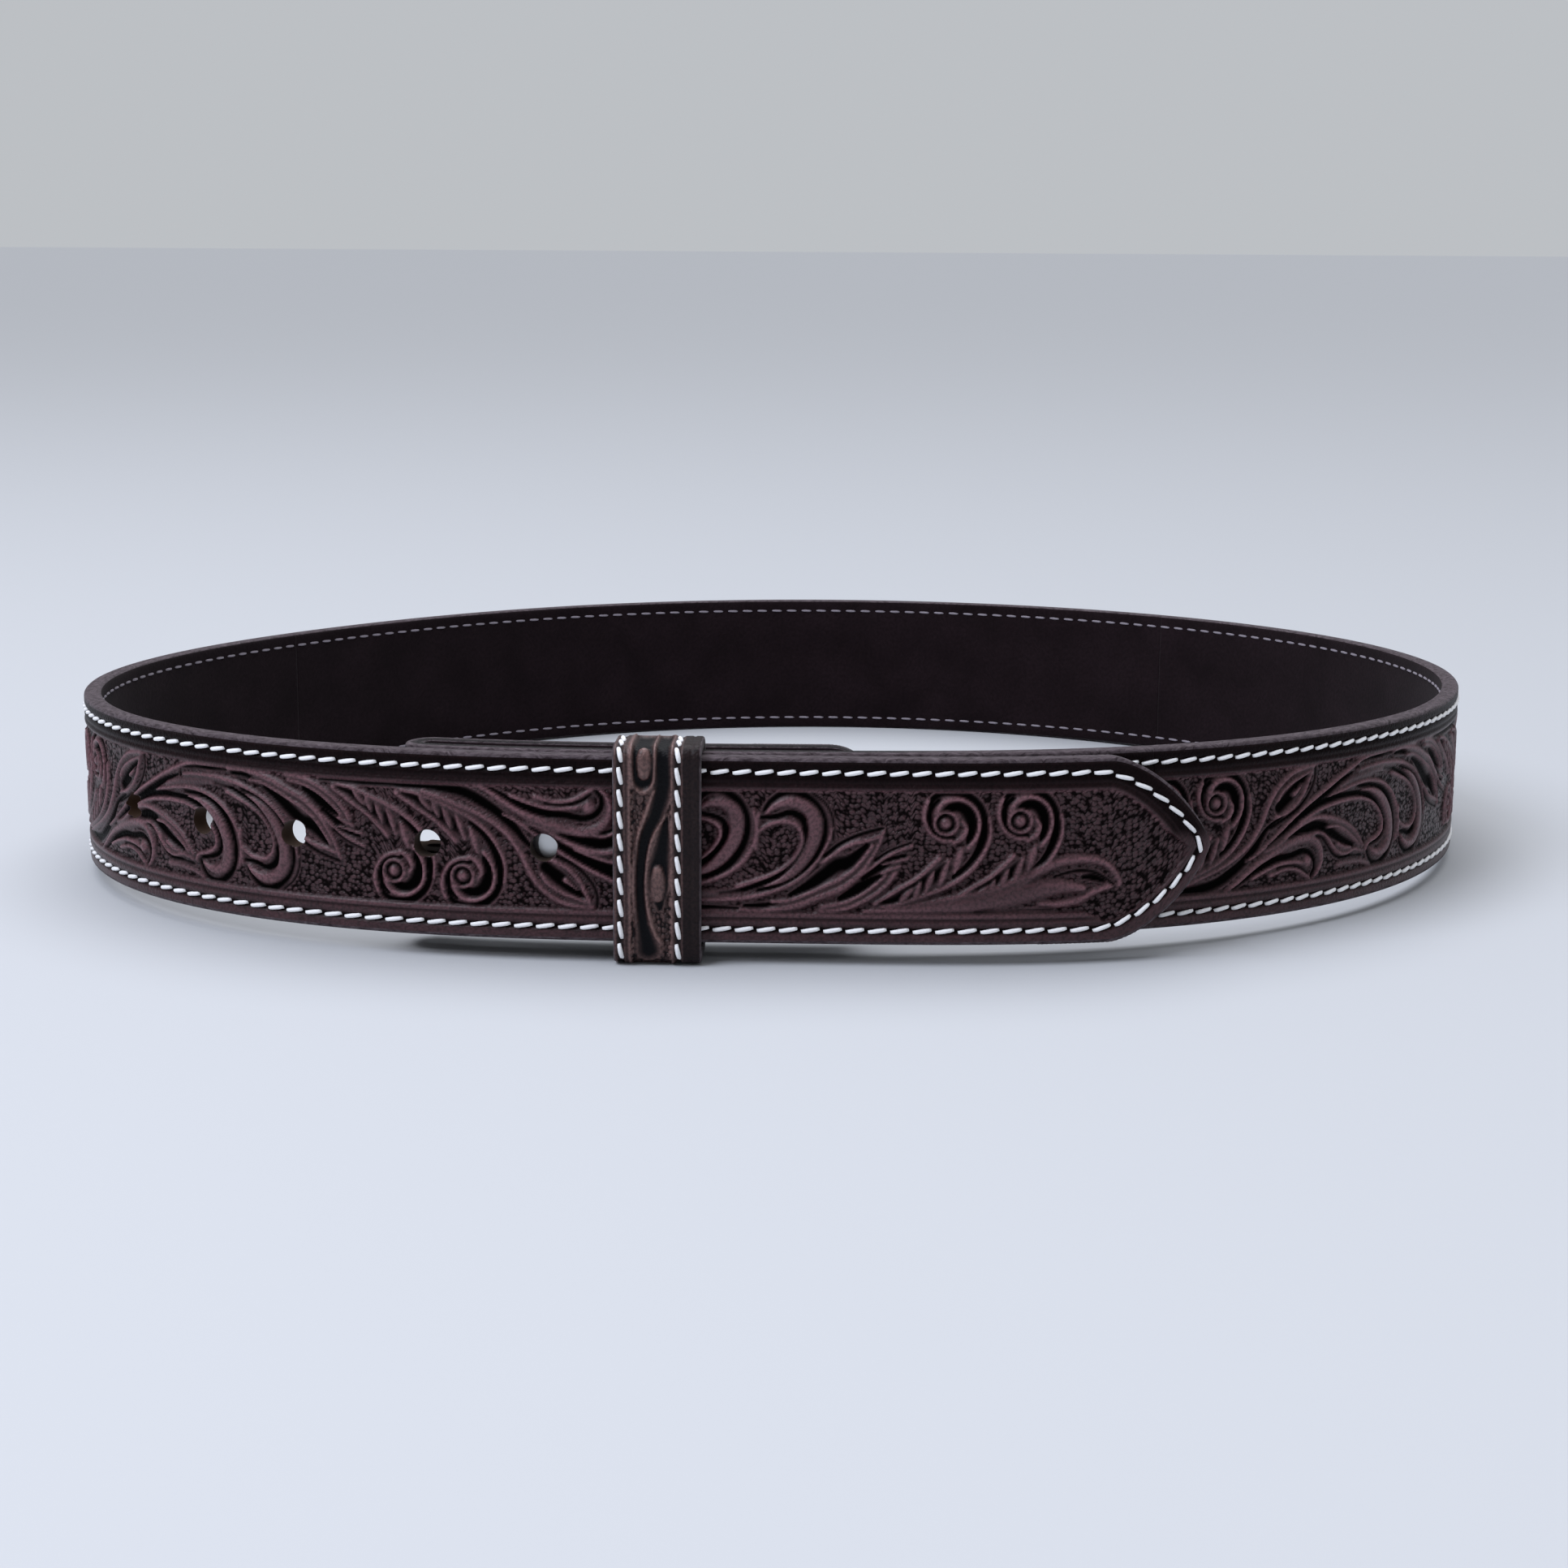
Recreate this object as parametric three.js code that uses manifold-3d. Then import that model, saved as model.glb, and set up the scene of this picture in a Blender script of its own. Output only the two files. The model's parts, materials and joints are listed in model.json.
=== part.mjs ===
// Western tooled belt, standing on its edge as a fastened ring.
// One long leather strap: its buckle end is folded back inwards and held by two snaps,
// its tongue end runs over that fold, through a leather keeper, and ends in a point.
// Millimetres, +Z up, the front of the belt towards -Y.

import * as THREE from 'three';
import { mergeVertices } from 'three/addons/utils/BufferGeometryUtils.js';
import Module from 'manifold-3d';

// Leather strap
const STRAP_WIDTH = 38;
const LEATHER = 4;
const EDGE_BEVEL = 0.7;
const STITCH_INSET = 2.95;
const GROOVE_WIDTH = 1.5;
const GROOVE_DEPTH = 0.5;
const NARROW_BEVEL = 0.3;
const NARROW_INSET = 0.5;
const NARROW_GROOVE = 0.25;

// Ring in plan: the closed curve between the tongue and the layer below it
const RING_WIDTH = 321;
const RING_DEPTH = 259;
// Each wave is a share of the mean radius, counted from the front towards the wearer's left
const RING_WAVES = [
  { order: 1, cosine: -0.12, sine: 0 },
  { order: 2, cosine: -0.063, sine: -0.039 },
  { order: 3, cosine: -0.033, sine: 0.013 },
  { order: 4, cosine: 0.001, sine: 0.011 },
];
const RING_STEPS = 720;

// Layers at the front
const FOLD_PLACE = -0.235;
const TONGUE_GAP = 1.6;
const FOLD_GAP = 3;
const FOLD_BACK_LENGTH = 92;
const FREE_END_CORNER = 10;
const TONGUE_LENGTH = 159;
const TIP_TAPER = 21;
const TIP_STAND_OFF = 3.3;
const STAND_OFF_START = 0.36;
const STAND_OFF_END = 1.04;
// Powers that set how full the outline is at the point and at the rounded corners
const TIP_ROUNDING = 1.6;
const TIP_FULLNESS = 0.77;
const CORNER_FULLNESS = 2.4;
// Width left at the very point, so that the strap ends in a narrow face
const TIP_FLAT = 0.04;

// Punched holes: shares of the tongue's length, measured back from the point
const HOLE_DIAMETER = 5.6;
const HOLES_FROM_TIP = [0.837, 0.985, 1.167, 1.316, 1.465];
const SLOT_WIDTH = 5.5;
const SLOT_REACH = 10.5;

// Keeper
const KEEPER_WIDTH = 17.6;
const KEEPER_WALL = 2.3;
const KEEPER_PLAY = 0.35;
// The loop hangs on the strap's top edge, so the rest of its play is below the strap
const KEEPER_SLACK = 1.5;
const KEEPER_CORNER = 3;
const KEEPER_INNER_CORNER = 0.7;
const KEEPER_BEVEL = 0.4;
const KEEPER_PLACE = 48.7;

// Snaps
const SNAP_PLACES = [28, 76.6];
const SNAP_DIAMETER = 13.8;
const SNAP_FLANGE = 1.1;
const SNAP_LIP = 0.5;
const SNAP_RECESS_DIAMETER = 6.2;
const SNAP_BARREL_DIAMETER = 7.4;
const SNAP_SOCKET_DIAMETER = 10.5;
const SNAP_POST_DIAMETER = 4;
const SNAP_STUD_DIAMETER = 9;
const SNAP_HEAD_DIAMETER = 13;
const SNAP_HEAD = 0.9;
// Shares of the free gap behind the fold-back that the socket and the stud fill
const SOCKET_SHARE = 0.57;
const STUD_SHARE = 0.43;
// The cap's dome: shares of its radius and of its height
const HEAD_RIM = { radius: 0.96, height: 0.45 };
const HEAD_CROWN = { radius: 0.6, height: 0.9 };
const CLEARANCE = 0.3;

// Fineness of the facets
const STATION_STEP = 8.4;
const FOLD_STEPS = 12;
const TAPER_STEPS = 11;
const ROUND_SIDES = 20;

const COLOURS = {
  leather: 0x4a3438,
  keeper: 0x452f2c,
  steel: 0xa9adb0,
};

const wasm = await Module();
wasm.setup();

const UP = new THREE.Vector3(0, 0, 1);
const LAYER_OFFSET = (TONGUE_GAP + LEATHER) / 2;
const FOLD_RADIUS = (FOLD_GAP + LEATHER) / 2;
const FOLD_BACK_OFFSET = -LAYER_OFFSET - 2 * FOLD_RADIUS;

function smoothStep(share) {
  const t = Math.min(Math.max(share, 0), 1);
  return t * t * (3 - 2 * t);
}

// Points of the plan curve, scaled to the ring's width and depth, with running length
function ringCurve() {
  const points = [];
  for (let i = 0; i < RING_STEPS; i += 1) {
    const angle = (2 * Math.PI * i) / RING_STEPS;
    let radius = 1;
    for (const wave of RING_WAVES) {
      radius += wave.cosine * Math.cos(wave.order * angle);
      radius += wave.sine * Math.sin(wave.order * angle);
    }
    points.push(new THREE.Vector2(radius * Math.sin(angle), -radius * Math.cos(angle)));
  }
  const box = new THREE.Box2().setFromPoints(points);
  const size = box.getSize(new THREE.Vector2());
  const centre = box.getCenter(new THREE.Vector2());
  for (const point of points) {
    point.sub(centre);
    point.set((point.x * RING_WIDTH) / size.x, (point.y * RING_DEPTH) / size.y);
  }
  return points;
}

const RING = ringCurve();
const RING_LENGTHS = [0];
for (let i = 0; i < RING_STEPS; i += 1) {
  const step = RING[i].distanceTo(RING[(i + 1) % RING_STEPS]);
  RING_LENGTHS.push(RING_LENGTHS[i] + step);
}
const RING_LENGTH = RING_LENGTHS[RING_STEPS];

// The fold line is where the front of the curve crosses this place left of the middle
function foldLineLength() {
  const x = FOLD_PLACE * RING_WIDTH;
  for (let i = RING_STEPS - 1; i > 0; i -= 1) {
    if (RING[i].x < x) {
      const share = (x - RING[i].x) / (RING[(i + 1) % RING_STEPS].x - RING[i].x);
      return RING_LENGTHS[i] + share * (RING_LENGTHS[i + 1] - RING_LENGTHS[i]);
    }
  }
  return 0;
}

const FOLD_LINE = foldLineLength();

// Point and outward normal of the ring curve, a distance past the fold line
function ringAt(distance) {
  const length = (((FOLD_LINE + distance) % RING_LENGTH) + RING_LENGTH) % RING_LENGTH;
  let low = 0;
  let high = RING_STEPS;
  while (high - low > 1) {
    const middle = Math.floor((low + high) / 2);
    if (RING_LENGTHS[middle] <= length) low = middle;
    else high = middle;
  }
  const share = (length - RING_LENGTHS[low]) / (RING_LENGTHS[low + 1] - RING_LENGTHS[low]);
  const tangentAt = (i) => {
    const before = RING[(i + RING_STEPS - 1) % RING_STEPS];
    const after = RING[(i + 1) % RING_STEPS];
    return after.clone().sub(before).normalize();
  };
  const point = RING[low].clone().lerp(RING[(low + 1) % RING_STEPS], share);
  const tangent = tangentAt(low).lerp(tangentAt((low + 1) % RING_STEPS), share).normalize();
  return { point, tangent, normal: new THREE.Vector2(tangent.y, -tangent.x) };
}

// How far the middle of the leather lies outside the ring curve, from fold to tip
function strapOffset(distance) {
  const tongue = (distance - RING_LENGTH) / TONGUE_LENGTH;
  const lift = smoothStep((tongue - STAND_OFF_START) / (STAND_OFF_END - STAND_OFF_START));
  return LAYER_OFFSET * (2 * smoothStep(distance / RING_LENGTH) - 1) + TIP_STAND_OFF * lift;
}

// Half width of the strap a distance back from its point
function tipHalfWidth(back) {
  const share = Math.min(back / TIP_TAPER, 1);
  return (STRAP_WIDTH / 2) * (1 - (1 - share) ** TIP_ROUNDING) ** TIP_FULLNESS;
}

// Half width of the fold-back a distance in from its free end, with rounded corners
function freeEndHalfWidth(back) {
  const share = Math.min(back / FREE_END_CORNER, 1);
  const corner = 1 - (1 - share) ** CORNER_FULLNESS;
  return STRAP_WIDTH / 2 - FREE_END_CORNER * (1 - corner ** (1 / CORNER_FULLNESS));
}

// A station is one cross section of the strap: place, grain-side normal and half width
function station(point, normal, halfWidth, groove) {
  return { point, normal, halfWidth, groove };
}

function foldBackStations() {
  const stations = [];
  const add = (distance, groove) => {
    const at = ringAt(distance);
    const point = at.point.addScaledVector(at.normal, FOLD_BACK_OFFSET);
    const half = freeEndHalfWidth(FOLD_BACK_LENGTH - distance);
    stations.push(station(point, at.normal.clone().negate(), half, groove));
  };
  for (let i = 0; i < TAPER_STEPS; i += 1) {
    const back = FREE_END_CORNER * (i / TAPER_STEPS) ** 2;
    add(FOLD_BACK_LENGTH - back, i === 0 ? 0 : 1);
  }
  const straight = FOLD_BACK_LENGTH - FREE_END_CORNER;
  const steps = Math.ceil(straight / STATION_STEP);
  for (let i = 0; i < steps; i += 1) add(straight * (1 - i / steps), 1);
  return stations;
}

function foldStations() {
  const at = ringAt(0);
  const centre = at.point.clone().addScaledVector(at.normal, -LAYER_OFFSET - FOLD_RADIUS);
  const stations = [];
  for (let i = 0; i < FOLD_STEPS; i += 1) {
    const angle = (Math.PI * i) / FOLD_STEPS;
    const normal = at.normal.clone().multiplyScalar(-Math.cos(angle));
    normal.addScaledVector(at.tangent, -Math.sin(angle));
    const point = centre.clone().addScaledVector(normal, FOLD_RADIUS);
    stations.push(station(point, normal, STRAP_WIDTH / 2, 1));
  }
  return stations;
}

function ringStations() {
  const stations = [];
  const total = RING_LENGTH + TONGUE_LENGTH;
  const add = (distance, groove) => {
    const at = ringAt(distance);
    const point = at.point.addScaledVector(at.normal, strapOffset(distance));
    stations.push(station(point, at.normal, tipHalfWidth(total - distance), groove));
  };
  const straight = total - TIP_TAPER;
  const steps = Math.ceil(straight / STATION_STEP);
  for (let i = 0; i < steps; i += 1) add((straight * i) / steps, 1);
  for (let i = 0; i < TAPER_STEPS; i += 1) {
    add(total - TIP_TAPER * (1 - i / TAPER_STEPS) ** 2, 1);
  }
  add(total - TIP_FLAT, 0);
  return stations;
}

// Cross section: pairs of distance towards the grain side and height above the lower edge.
// Where the strap is narrow, the bevels and grooves keep to a share of its half width.
function sectionPoints({ halfWidth, groove }) {
  const face = LEATHER / 2;
  const bevel = Math.min(EDGE_BEVEL, NARROW_BEVEL * halfWidth);
  const inset = Math.min(STITCH_INSET, NARROW_INSET * halfWidth);
  const half = Math.min(GROOVE_WIDTH / 2, NARROW_GROOVE * inset);
  const deep = face - GROOVE_DEPTH * groove;
  const low = STRAP_WIDTH / 2 - halfWidth;
  const high = STRAP_WIDTH / 2 + halfWidth;
  return [
    [face - bevel, low],
    [face, low + bevel],
    [face, low + inset - half],
    [deep, low + inset],
    [face, low + inset + half],
    [face, high - inset - half],
    [deep, high - inset],
    [face, high - inset + half],
    [face, high - bevel],
    [face - bevel, high],
    [bevel - face, high],
    [-face, high - bevel],
    [-face, low + bevel],
    [bevel - face, low],
  ];
}

// Closed body through all the stations, with a flat cap at each end
function sweep(stations) {
  const positions = [];
  const indices = [];
  for (const at of stations) {
    for (const [across, height] of sectionPoints(at)) {
      const x = at.point.x + at.normal.x * across;
      const y = at.point.y + at.normal.y * across;
      positions.push(x, y, height);
    }
  }
  const count = positions.length / 3 / stations.length;
  for (let i = 0; i < stations.length - 1; i += 1) {
    for (let j = 0; j < count; j += 1) {
      const a = i * count + j;
      const b = i * count + ((j + 1) % count);
      indices.push(a, a + count, b, b, a + count, b + count);
    }
  }
  const last = (stations.length - 1) * count;
  for (let j = 1; j < count - 1; j += 1) {
    indices.push(0, j, j + 1);
    indices.push(last, last + j + 1, last + j);
  }
  const geometry = new THREE.BufferGeometry();
  geometry.setAttribute('position', new THREE.Float32BufferAttribute(positions, 3));
  geometry.setIndex(indices);
  return geometry;
}

function toSolid(geometry) {
  const bare = geometry.clone();
  bare.deleteAttribute('normal');
  bare.deleteAttribute('uv');
  const merged = mergeVertices(bare, 1e-4);
  return new wasm.Manifold(new wasm.Mesh({
    numProp: 3,
    vertProperties: new Float32Array(merged.attributes.position.array),
    triVerts: new Uint32Array(merged.index.array),
  }));
}

function toGeometry(solid) {
  const mesh = solid.getMesh();
  const geometry = new THREE.BufferGeometry();
  geometry.setAttribute('position', new THREE.BufferAttribute(mesh.vertProperties, 3));
  geometry.setIndex(new THREE.BufferAttribute(mesh.triVerts, 1));
  geometry.computeVertexNormals();
  return geometry;
}

// Axes at a place on the ring: X along the strap, Y up, Z outwards
function placeAt(distance, offset) {
  const at = ringAt(distance);
  const point = at.point.clone().addScaledVector(at.normal, offset);
  const along = new THREE.Vector3(at.tangent.x, at.tangent.y, 0);
  const outward = new THREE.Vector3(at.normal.x, at.normal.y, 0);
  const matrix = new THREE.Matrix4().makeBasis(along, UP, outward);
  return matrix.setPosition(point.x, point.y, STRAP_WIDTH / 2);
}

// Round punch through the leather, from one offset of the ring to another
function roundPunch(distance, diameter, inner, outer) {
  const length = outer - inner;
  const punch = new THREE.CylinderGeometry(diameter / 2, diameter / 2, length, ROUND_SIDES);
  punch.rotateX(Math.PI / 2);
  punch.applyMatrix4(placeAt(distance, (inner + outer) / 2));
  return toSolid(punch);
}

// Long slot for a buckle's tongue, through the fold and both layers beside it
function slotPunch() {
  const radius = SLOT_WIDTH / 2;
  const start = -FOLD_RADIUS - LEATHER;
  const end = SLOT_REACH - radius;
  const outline = new THREE.Shape();
  outline.moveTo(start, -radius);
  outline.lineTo(end, -radius);
  outline.absarc(end, 0, radius, -Math.PI / 2, Math.PI / 2, false);
  outline.lineTo(start, radius);
  outline.closePath();
  const inner = FOLD_BACK_OFFSET - LEATHER;
  const outer = TONGUE_GAP / 4 - TONGUE_GAP / 2;
  const settings = { depth: outer - inner, bevelEnabled: false, curveSegments: ROUND_SIDES / 2 };
  const punch = new THREE.ExtrudeGeometry(outline, settings);
  punch.applyMatrix4(placeAt(0, inner));
  return toSolid(punch);
}

function strapGeometry() {
  const stations = [...foldBackStations(), ...foldStations(), ...ringStations()];
  const total = RING_LENGTH + TONGUE_LENGTH;
  const tongueInner = LAYER_OFFSET - LEATHER;
  const foldBackMiddle = (FOLD_BACK_OFFSET - LAYER_OFFSET) / 2;
  const barrel = SNAP_BARREL_DIAMETER + 2 * CLEARANCE;
  const post = SNAP_POST_DIAMETER + 2 * CLEARANCE;
  let solid = toSolid(sweep(stations)).subtract(slotPunch());
  for (const share of HOLES_FROM_TIP) {
    const distance = total - share * TONGUE_LENGTH;
    const inner = distance > RING_LENGTH ? 0 : tongueInner - LEATHER;
    const outer = LAYER_OFFSET + LEATHER;
    solid = solid.subtract(roundPunch(distance, HOLE_DIAMETER, inner, outer));
  }
  for (const distance of SNAP_PLACES) {
    const deepest = FOLD_BACK_OFFSET - LEATHER;
    solid = solid.subtract(roundPunch(distance, barrel, deepest, foldBackMiddle));
    solid = solid.subtract(roundPunch(distance, post, foldBackMiddle, 0));
  }
  return toGeometry(solid);
}

function roundedBox(path, left, bottom, right, top, radius) {
  path.moveTo(left + radius, bottom);
  path.lineTo(right - radius, bottom);
  path.absarc(right - radius, bottom + radius, radius, -Math.PI / 2, 0, false);
  path.lineTo(right, top - radius);
  path.absarc(right - radius, top - radius, radius, 0, Math.PI / 2, false);
  path.lineTo(left + radius, top);
  path.absarc(left + radius, top - radius, radius, Math.PI / 2, Math.PI, false);
  path.lineTo(left, bottom + radius);
  path.absarc(left + radius, bottom + radius, radius, Math.PI, 1.5 * Math.PI, false);
  return path;
}

// Leather loop round the tongue and the layer below it
function keeperGeometry() {
  const inner = -LAYER_OFFSET - LEATHER / 2 - KEEPER_PLAY;
  const outer = LAYER_OFFSET + LEATHER / 2 + KEEPER_PLAY;
  const top = STRAP_WIDTH / 2 + KEEPER_PLAY;
  const bottom = -top - KEEPER_SLACK;
  const wall = KEEPER_WALL;
  const outline = roundedBox(
    new THREE.Shape(), inner - wall, bottom - wall, outer + wall, top + wall, KEEPER_CORNER,
  );
  const hollow = new THREE.Path();
  outline.holes.push(roundedBox(hollow, inner, bottom, outer, top, KEEPER_INNER_CORNER));
  const geometry = new THREE.ExtrudeGeometry(outline, {
    depth: KEEPER_WIDTH - 2 * KEEPER_BEVEL,
    bevelThickness: KEEPER_BEVEL,
    bevelSize: KEEPER_BEVEL,
    bevelOffset: -KEEPER_BEVEL,
    bevelSegments: 1,
    curveSegments: 5,
  });
  geometry.translate(0, 0, -KEEPER_WIDTH / 2 + KEEPER_BEVEL);
  geometry.rotateY(-Math.PI / 2);
  geometry.applyMatrix4(placeAt(KEEPER_PLACE, 0));
  return toGeometry(toSolid(geometry));
}

// Turned part of a snap: rows of radius and height along the outward axis
function turned(profile, distance, offset) {
  const points = profile.map(([radius, height]) => new THREE.Vector2(radius, height));
  const geometry = new THREE.LatheGeometry(points, ROUND_SIDES);
  geometry.rotateX(Math.PI / 2);
  geometry.applyMatrix4(placeAt(distance, offset));
  return toGeometry(toSolid(geometry));
}

// Ring on the wearer's side, with its barrel through the fold-back and its socket behind
function snapRingGeometry(distance) {
  const rim = SNAP_DIAMETER / 2;
  const recess = SNAP_RECESS_DIAMETER / 2;
  const barrel = SNAP_BARREL_DIAMETER / 2;
  const socket = SNAP_SOCKET_DIAMETER / 2;
  const seat = -LEATHER / 2 - CLEARANCE;
  const face = seat - SNAP_FLANGE;
  const back = LEATHER / 2 + CLEARANCE;
  const socketEnd = back + (FOLD_GAP - 3 * CLEARANCE) * SOCKET_SHARE;
  return turned([
    [0, socketEnd],
    [socket, socketEnd],
    [socket, back],
    [barrel, back],
    [barrel, seat],
    [rim - SNAP_LIP, seat],
    [rim, seat - SNAP_LIP / 2],
    [rim - SNAP_LIP, face + SNAP_LIP / 3],
    [recess + 3 * SNAP_LIP, face],
    [recess + SNAP_LIP, face - SNAP_LIP / 2],
    [recess, face + SNAP_LIP / 2],
    [recess - SNAP_LIP / 2, LEATHER / 4],
    [0, LEATHER / 4],
  ].reverse(), distance, FOLD_BACK_OFFSET);
}

// Cap on the front of the layer below the tongue, with its post and stud behind it
function snapCapGeometry(distance) {
  const post = SNAP_POST_DIAMETER / 2;
  const stud = SNAP_STUD_DIAMETER / 2;
  const head = SNAP_HEAD_DIAMETER / 2;
  const front = LEATHER / 2 + CLEARANCE;
  const back = -LEATHER / 2 - CLEARANCE;
  const studEnd = back - (FOLD_GAP - 3 * CLEARANCE) * STUD_SHARE;
  return turned([
    [0, studEnd],
    [stud, studEnd],
    [stud, back],
    [post, back],
    [post, front],
    [head, front],
    [head * HEAD_RIM.radius, front + SNAP_HEAD * HEAD_RIM.height],
    [head * HEAD_CROWN.radius, front + SNAP_HEAD * HEAD_CROWN.height],
    [0, front + SNAP_HEAD],
  ], distance, -LAYER_OFFSET);
}

function named(name, geometry, color, roughness, metalness) {
  const material = new THREE.MeshStandardMaterial({ color, roughness, metalness });
  const mesh = new THREE.Mesh(geometry, material);
  mesh.name = name;
  return mesh;
}

const belt = new THREE.Group();
belt.add(named('strap', strapGeometry(), COLOURS.leather, 0.6, 0));
belt.add(named('keeper', keeperGeometry(), COLOURS.keeper, 0.6, 0));
SNAP_PLACES.forEach((distance, index) => {
  const number = index + 1;
  belt.add(named(`snap_ring_${number}`, snapRingGeometry(distance), COLOURS.steel, 0.35, 1));
  belt.add(named(`snap_cap_${number}`, snapCapGeometry(distance), COLOURS.steel, 0.35, 1));
});

// The keeper hangs below the strap, so the belt rests on it and on the strap's back edge
function restingTilt() {
  const strap = new THREE.Box3().setFromObject(belt.getObjectByName('strap'));
  const keeper = new THREE.Box3().setFromObject(belt.getObjectByName('keeper'));
  return Math.atan2(strap.min.z - keeper.min.z, strap.max.y - keeper.max.y);
}

belt.rotation.x = -restingTilt();
const group = new THREE.Group();
group.add(belt);
const bounds = new THREE.Box3().setFromObject(group, true);
const middle = bounds.getCenter(new THREE.Vector3());
belt.position.set(-middle.x, -middle.y, -bounds.min.z);

export default group;
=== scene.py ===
import json
import math

import bmesh
import bpy
import numpy as np
from mathutils import Matrix, Vector


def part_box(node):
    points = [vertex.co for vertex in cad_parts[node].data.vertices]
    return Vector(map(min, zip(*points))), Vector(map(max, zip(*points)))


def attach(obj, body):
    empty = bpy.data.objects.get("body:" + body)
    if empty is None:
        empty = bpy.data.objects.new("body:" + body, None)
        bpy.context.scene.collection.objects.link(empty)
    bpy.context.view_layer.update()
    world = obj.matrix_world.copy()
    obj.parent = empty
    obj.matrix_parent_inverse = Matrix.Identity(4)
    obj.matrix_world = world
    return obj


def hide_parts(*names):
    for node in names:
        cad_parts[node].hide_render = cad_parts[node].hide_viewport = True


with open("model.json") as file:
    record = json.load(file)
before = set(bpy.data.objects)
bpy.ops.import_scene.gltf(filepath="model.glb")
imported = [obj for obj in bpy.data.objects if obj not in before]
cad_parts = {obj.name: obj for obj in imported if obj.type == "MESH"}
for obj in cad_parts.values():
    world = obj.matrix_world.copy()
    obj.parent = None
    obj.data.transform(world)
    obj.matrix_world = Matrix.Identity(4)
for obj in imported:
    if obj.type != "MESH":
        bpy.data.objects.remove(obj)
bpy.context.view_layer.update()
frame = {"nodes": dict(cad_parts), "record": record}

MM = 0.001

# Leather strap
STRAP_WIDTH = 38
MIDDLE = STRAP_WIDTH / 2
LEATHER = 4
FACE = LEATHER / 2
EDGE_BEVEL = 0.7
STITCH_INSET = 2.95
STITCH_POINT_INSET = 2.5
GROOVE_WIDTH = 1.7
GROOVE_DEPTH = 0.5
FLESH_GROOVE_WIDTH = 1.6
FLESH_GROOVE_DEPTH = 0.2

# Ring in plan, with waves as shares of the mean radius
RING_WIDTH = 321
RING_DEPTH = 259
RING_WAVES = [
    {"order": 1, "cosine": -0.12, "sine": 0},
    {"order": 2, "cosine": -0.063, "sine": -0.039},
    {"order": 3, "cosine": -0.033, "sine": 0.013},
    {"order": 4, "cosine": 0.001, "sine": 0.011},
]
RING_STEPS = 720

# Layers at the front
FOLD_PLACE = -0.235
TONGUE_GAP = 1.6
FOLD_GAP = 3
FOLD_BACK_LENGTH = 92
FREE_END_CORNER = 10
TONGUE_LENGTH = 159
TIP_TAPER = 21
TIP_STAND_OFF = 3.3
STAND_OFF_START = 0.36
STAND_OFF_END = 1.04
TIP_FULLNESS = (1.6, 0.77)
FREE_END_FULLNESS = 2.4

# Punched holes and slot
HOLE_DIAMETER = 5.6
HOLES_FROM_TIP = [0.837, 0.985, 1.167, 1.316, 1.465]
SLOT_WIDTH = 5.5
SLOT_REACH = 10.5

# Keeper
KEEPER_WIDTH = 17.6
KEEPER_WALL = 2.3
KEEPER_PLAY = 0.35
KEEPER_SLACK = 1.5
KEEPER_CORNER = 3
KEEPER_PLACE = 48.7

# Snaps
SNAP_PLACES = [28, 76.6]
SNAP_HOLE = 8

LAYER_OFFSET = (TONGUE_GAP + LEATHER) / 2
FOLD_RADIUS = (FOLD_GAP + LEATHER) / 2
FOLD_ARC = math.pi * FOLD_RADIUS
FOLD_BACK_OFFSET = -LAYER_OFFSET - 2 * FOLD_RADIUS


def smooth_step(share):
    t = np.clip(share, 0, 1)
    return t * t * (3 - 2 * t)


def bump_over(distance, centre, width):
    """One at a centre, falling to zero at both sides of a width."""
    return np.clip(1 - ((distance - centre) / (width / 2)) ** 2, 0, 1)


def run_lengths(points):
    """Length of a line up to each of its points."""
    return np.r_[0, np.cumsum(np.linalg.norm(np.diff(points, axis=0), axis=1))]


def along(length, lengths, rows):
    """Values at lengths along a line, from a row of values for each of its points."""
    return np.stack([np.interp(length, lengths, column) for column in rows.T], -1)


# Route of the strap in plan

def ring_curve():
    """Closed plan curve between the tongue and the layer below it."""
    angle = np.linspace(0, 2 * math.pi, RING_STEPS + 1)
    radius = np.ones_like(angle)
    for wave in RING_WAVES:
        radius += wave["cosine"] * np.cos(wave["order"] * angle)
        radius += wave["sine"] * np.sin(wave["order"] * angle)
    points = np.stack([radius * np.sin(angle), -radius * np.cos(angle)], 1)
    low, high = points.min(0), points.max(0)
    return (points - (low + high) / 2) * [RING_WIDTH, RING_DEPTH] / (high - low)


RING = ring_curve()
RING_LENGTHS = run_lengths(RING)
RING_LENGTH = RING_LENGTHS[-1]
STRAP_START = -FOLD_ARC - FOLD_BACK_LENGTH
STRAP_END = RING_LENGTH + TONGUE_LENGTH
FRONT_LEFT = np.arange(RING_STEPS * 3 // 4, RING_STEPS + 1)
FOLD_LINE = np.interp(FOLD_PLACE * RING_WIDTH, RING[FRONT_LEFT, 0], RING_LENGTHS[FRONT_LEFT])


def ring_at(distance):
    """Points and outward normals of the ring, at distances past the fold line."""
    length = (FOLD_LINE + distance) % RING_LENGTH
    chords = np.roll(RING[:-1], -1, 0) - np.roll(RING[:-1], 1, 0)
    tangent = along(length, RING_LENGTHS, np.vstack([chords, chords[:1]]))
    tangent /= np.linalg.norm(tangent, axis=-1, keepdims=True)
    normal = np.stack([tangent[..., 1], -tangent[..., 0]], -1)
    return along(length, RING_LENGTHS, RING), normal


def strap_offset(distance):
    """How far the middle of the leather lies outside the ring curve."""
    tongue = (distance - RING_LENGTH) / TONGUE_LENGTH
    lift = smooth_step((tongue - STAND_OFF_START) / (STAND_OFF_END - STAND_OFF_START))
    return LAYER_OFFSET * (2 * smooth_step(distance / RING_LENGTH) - 1) + TIP_STAND_OFF * lift


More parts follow.
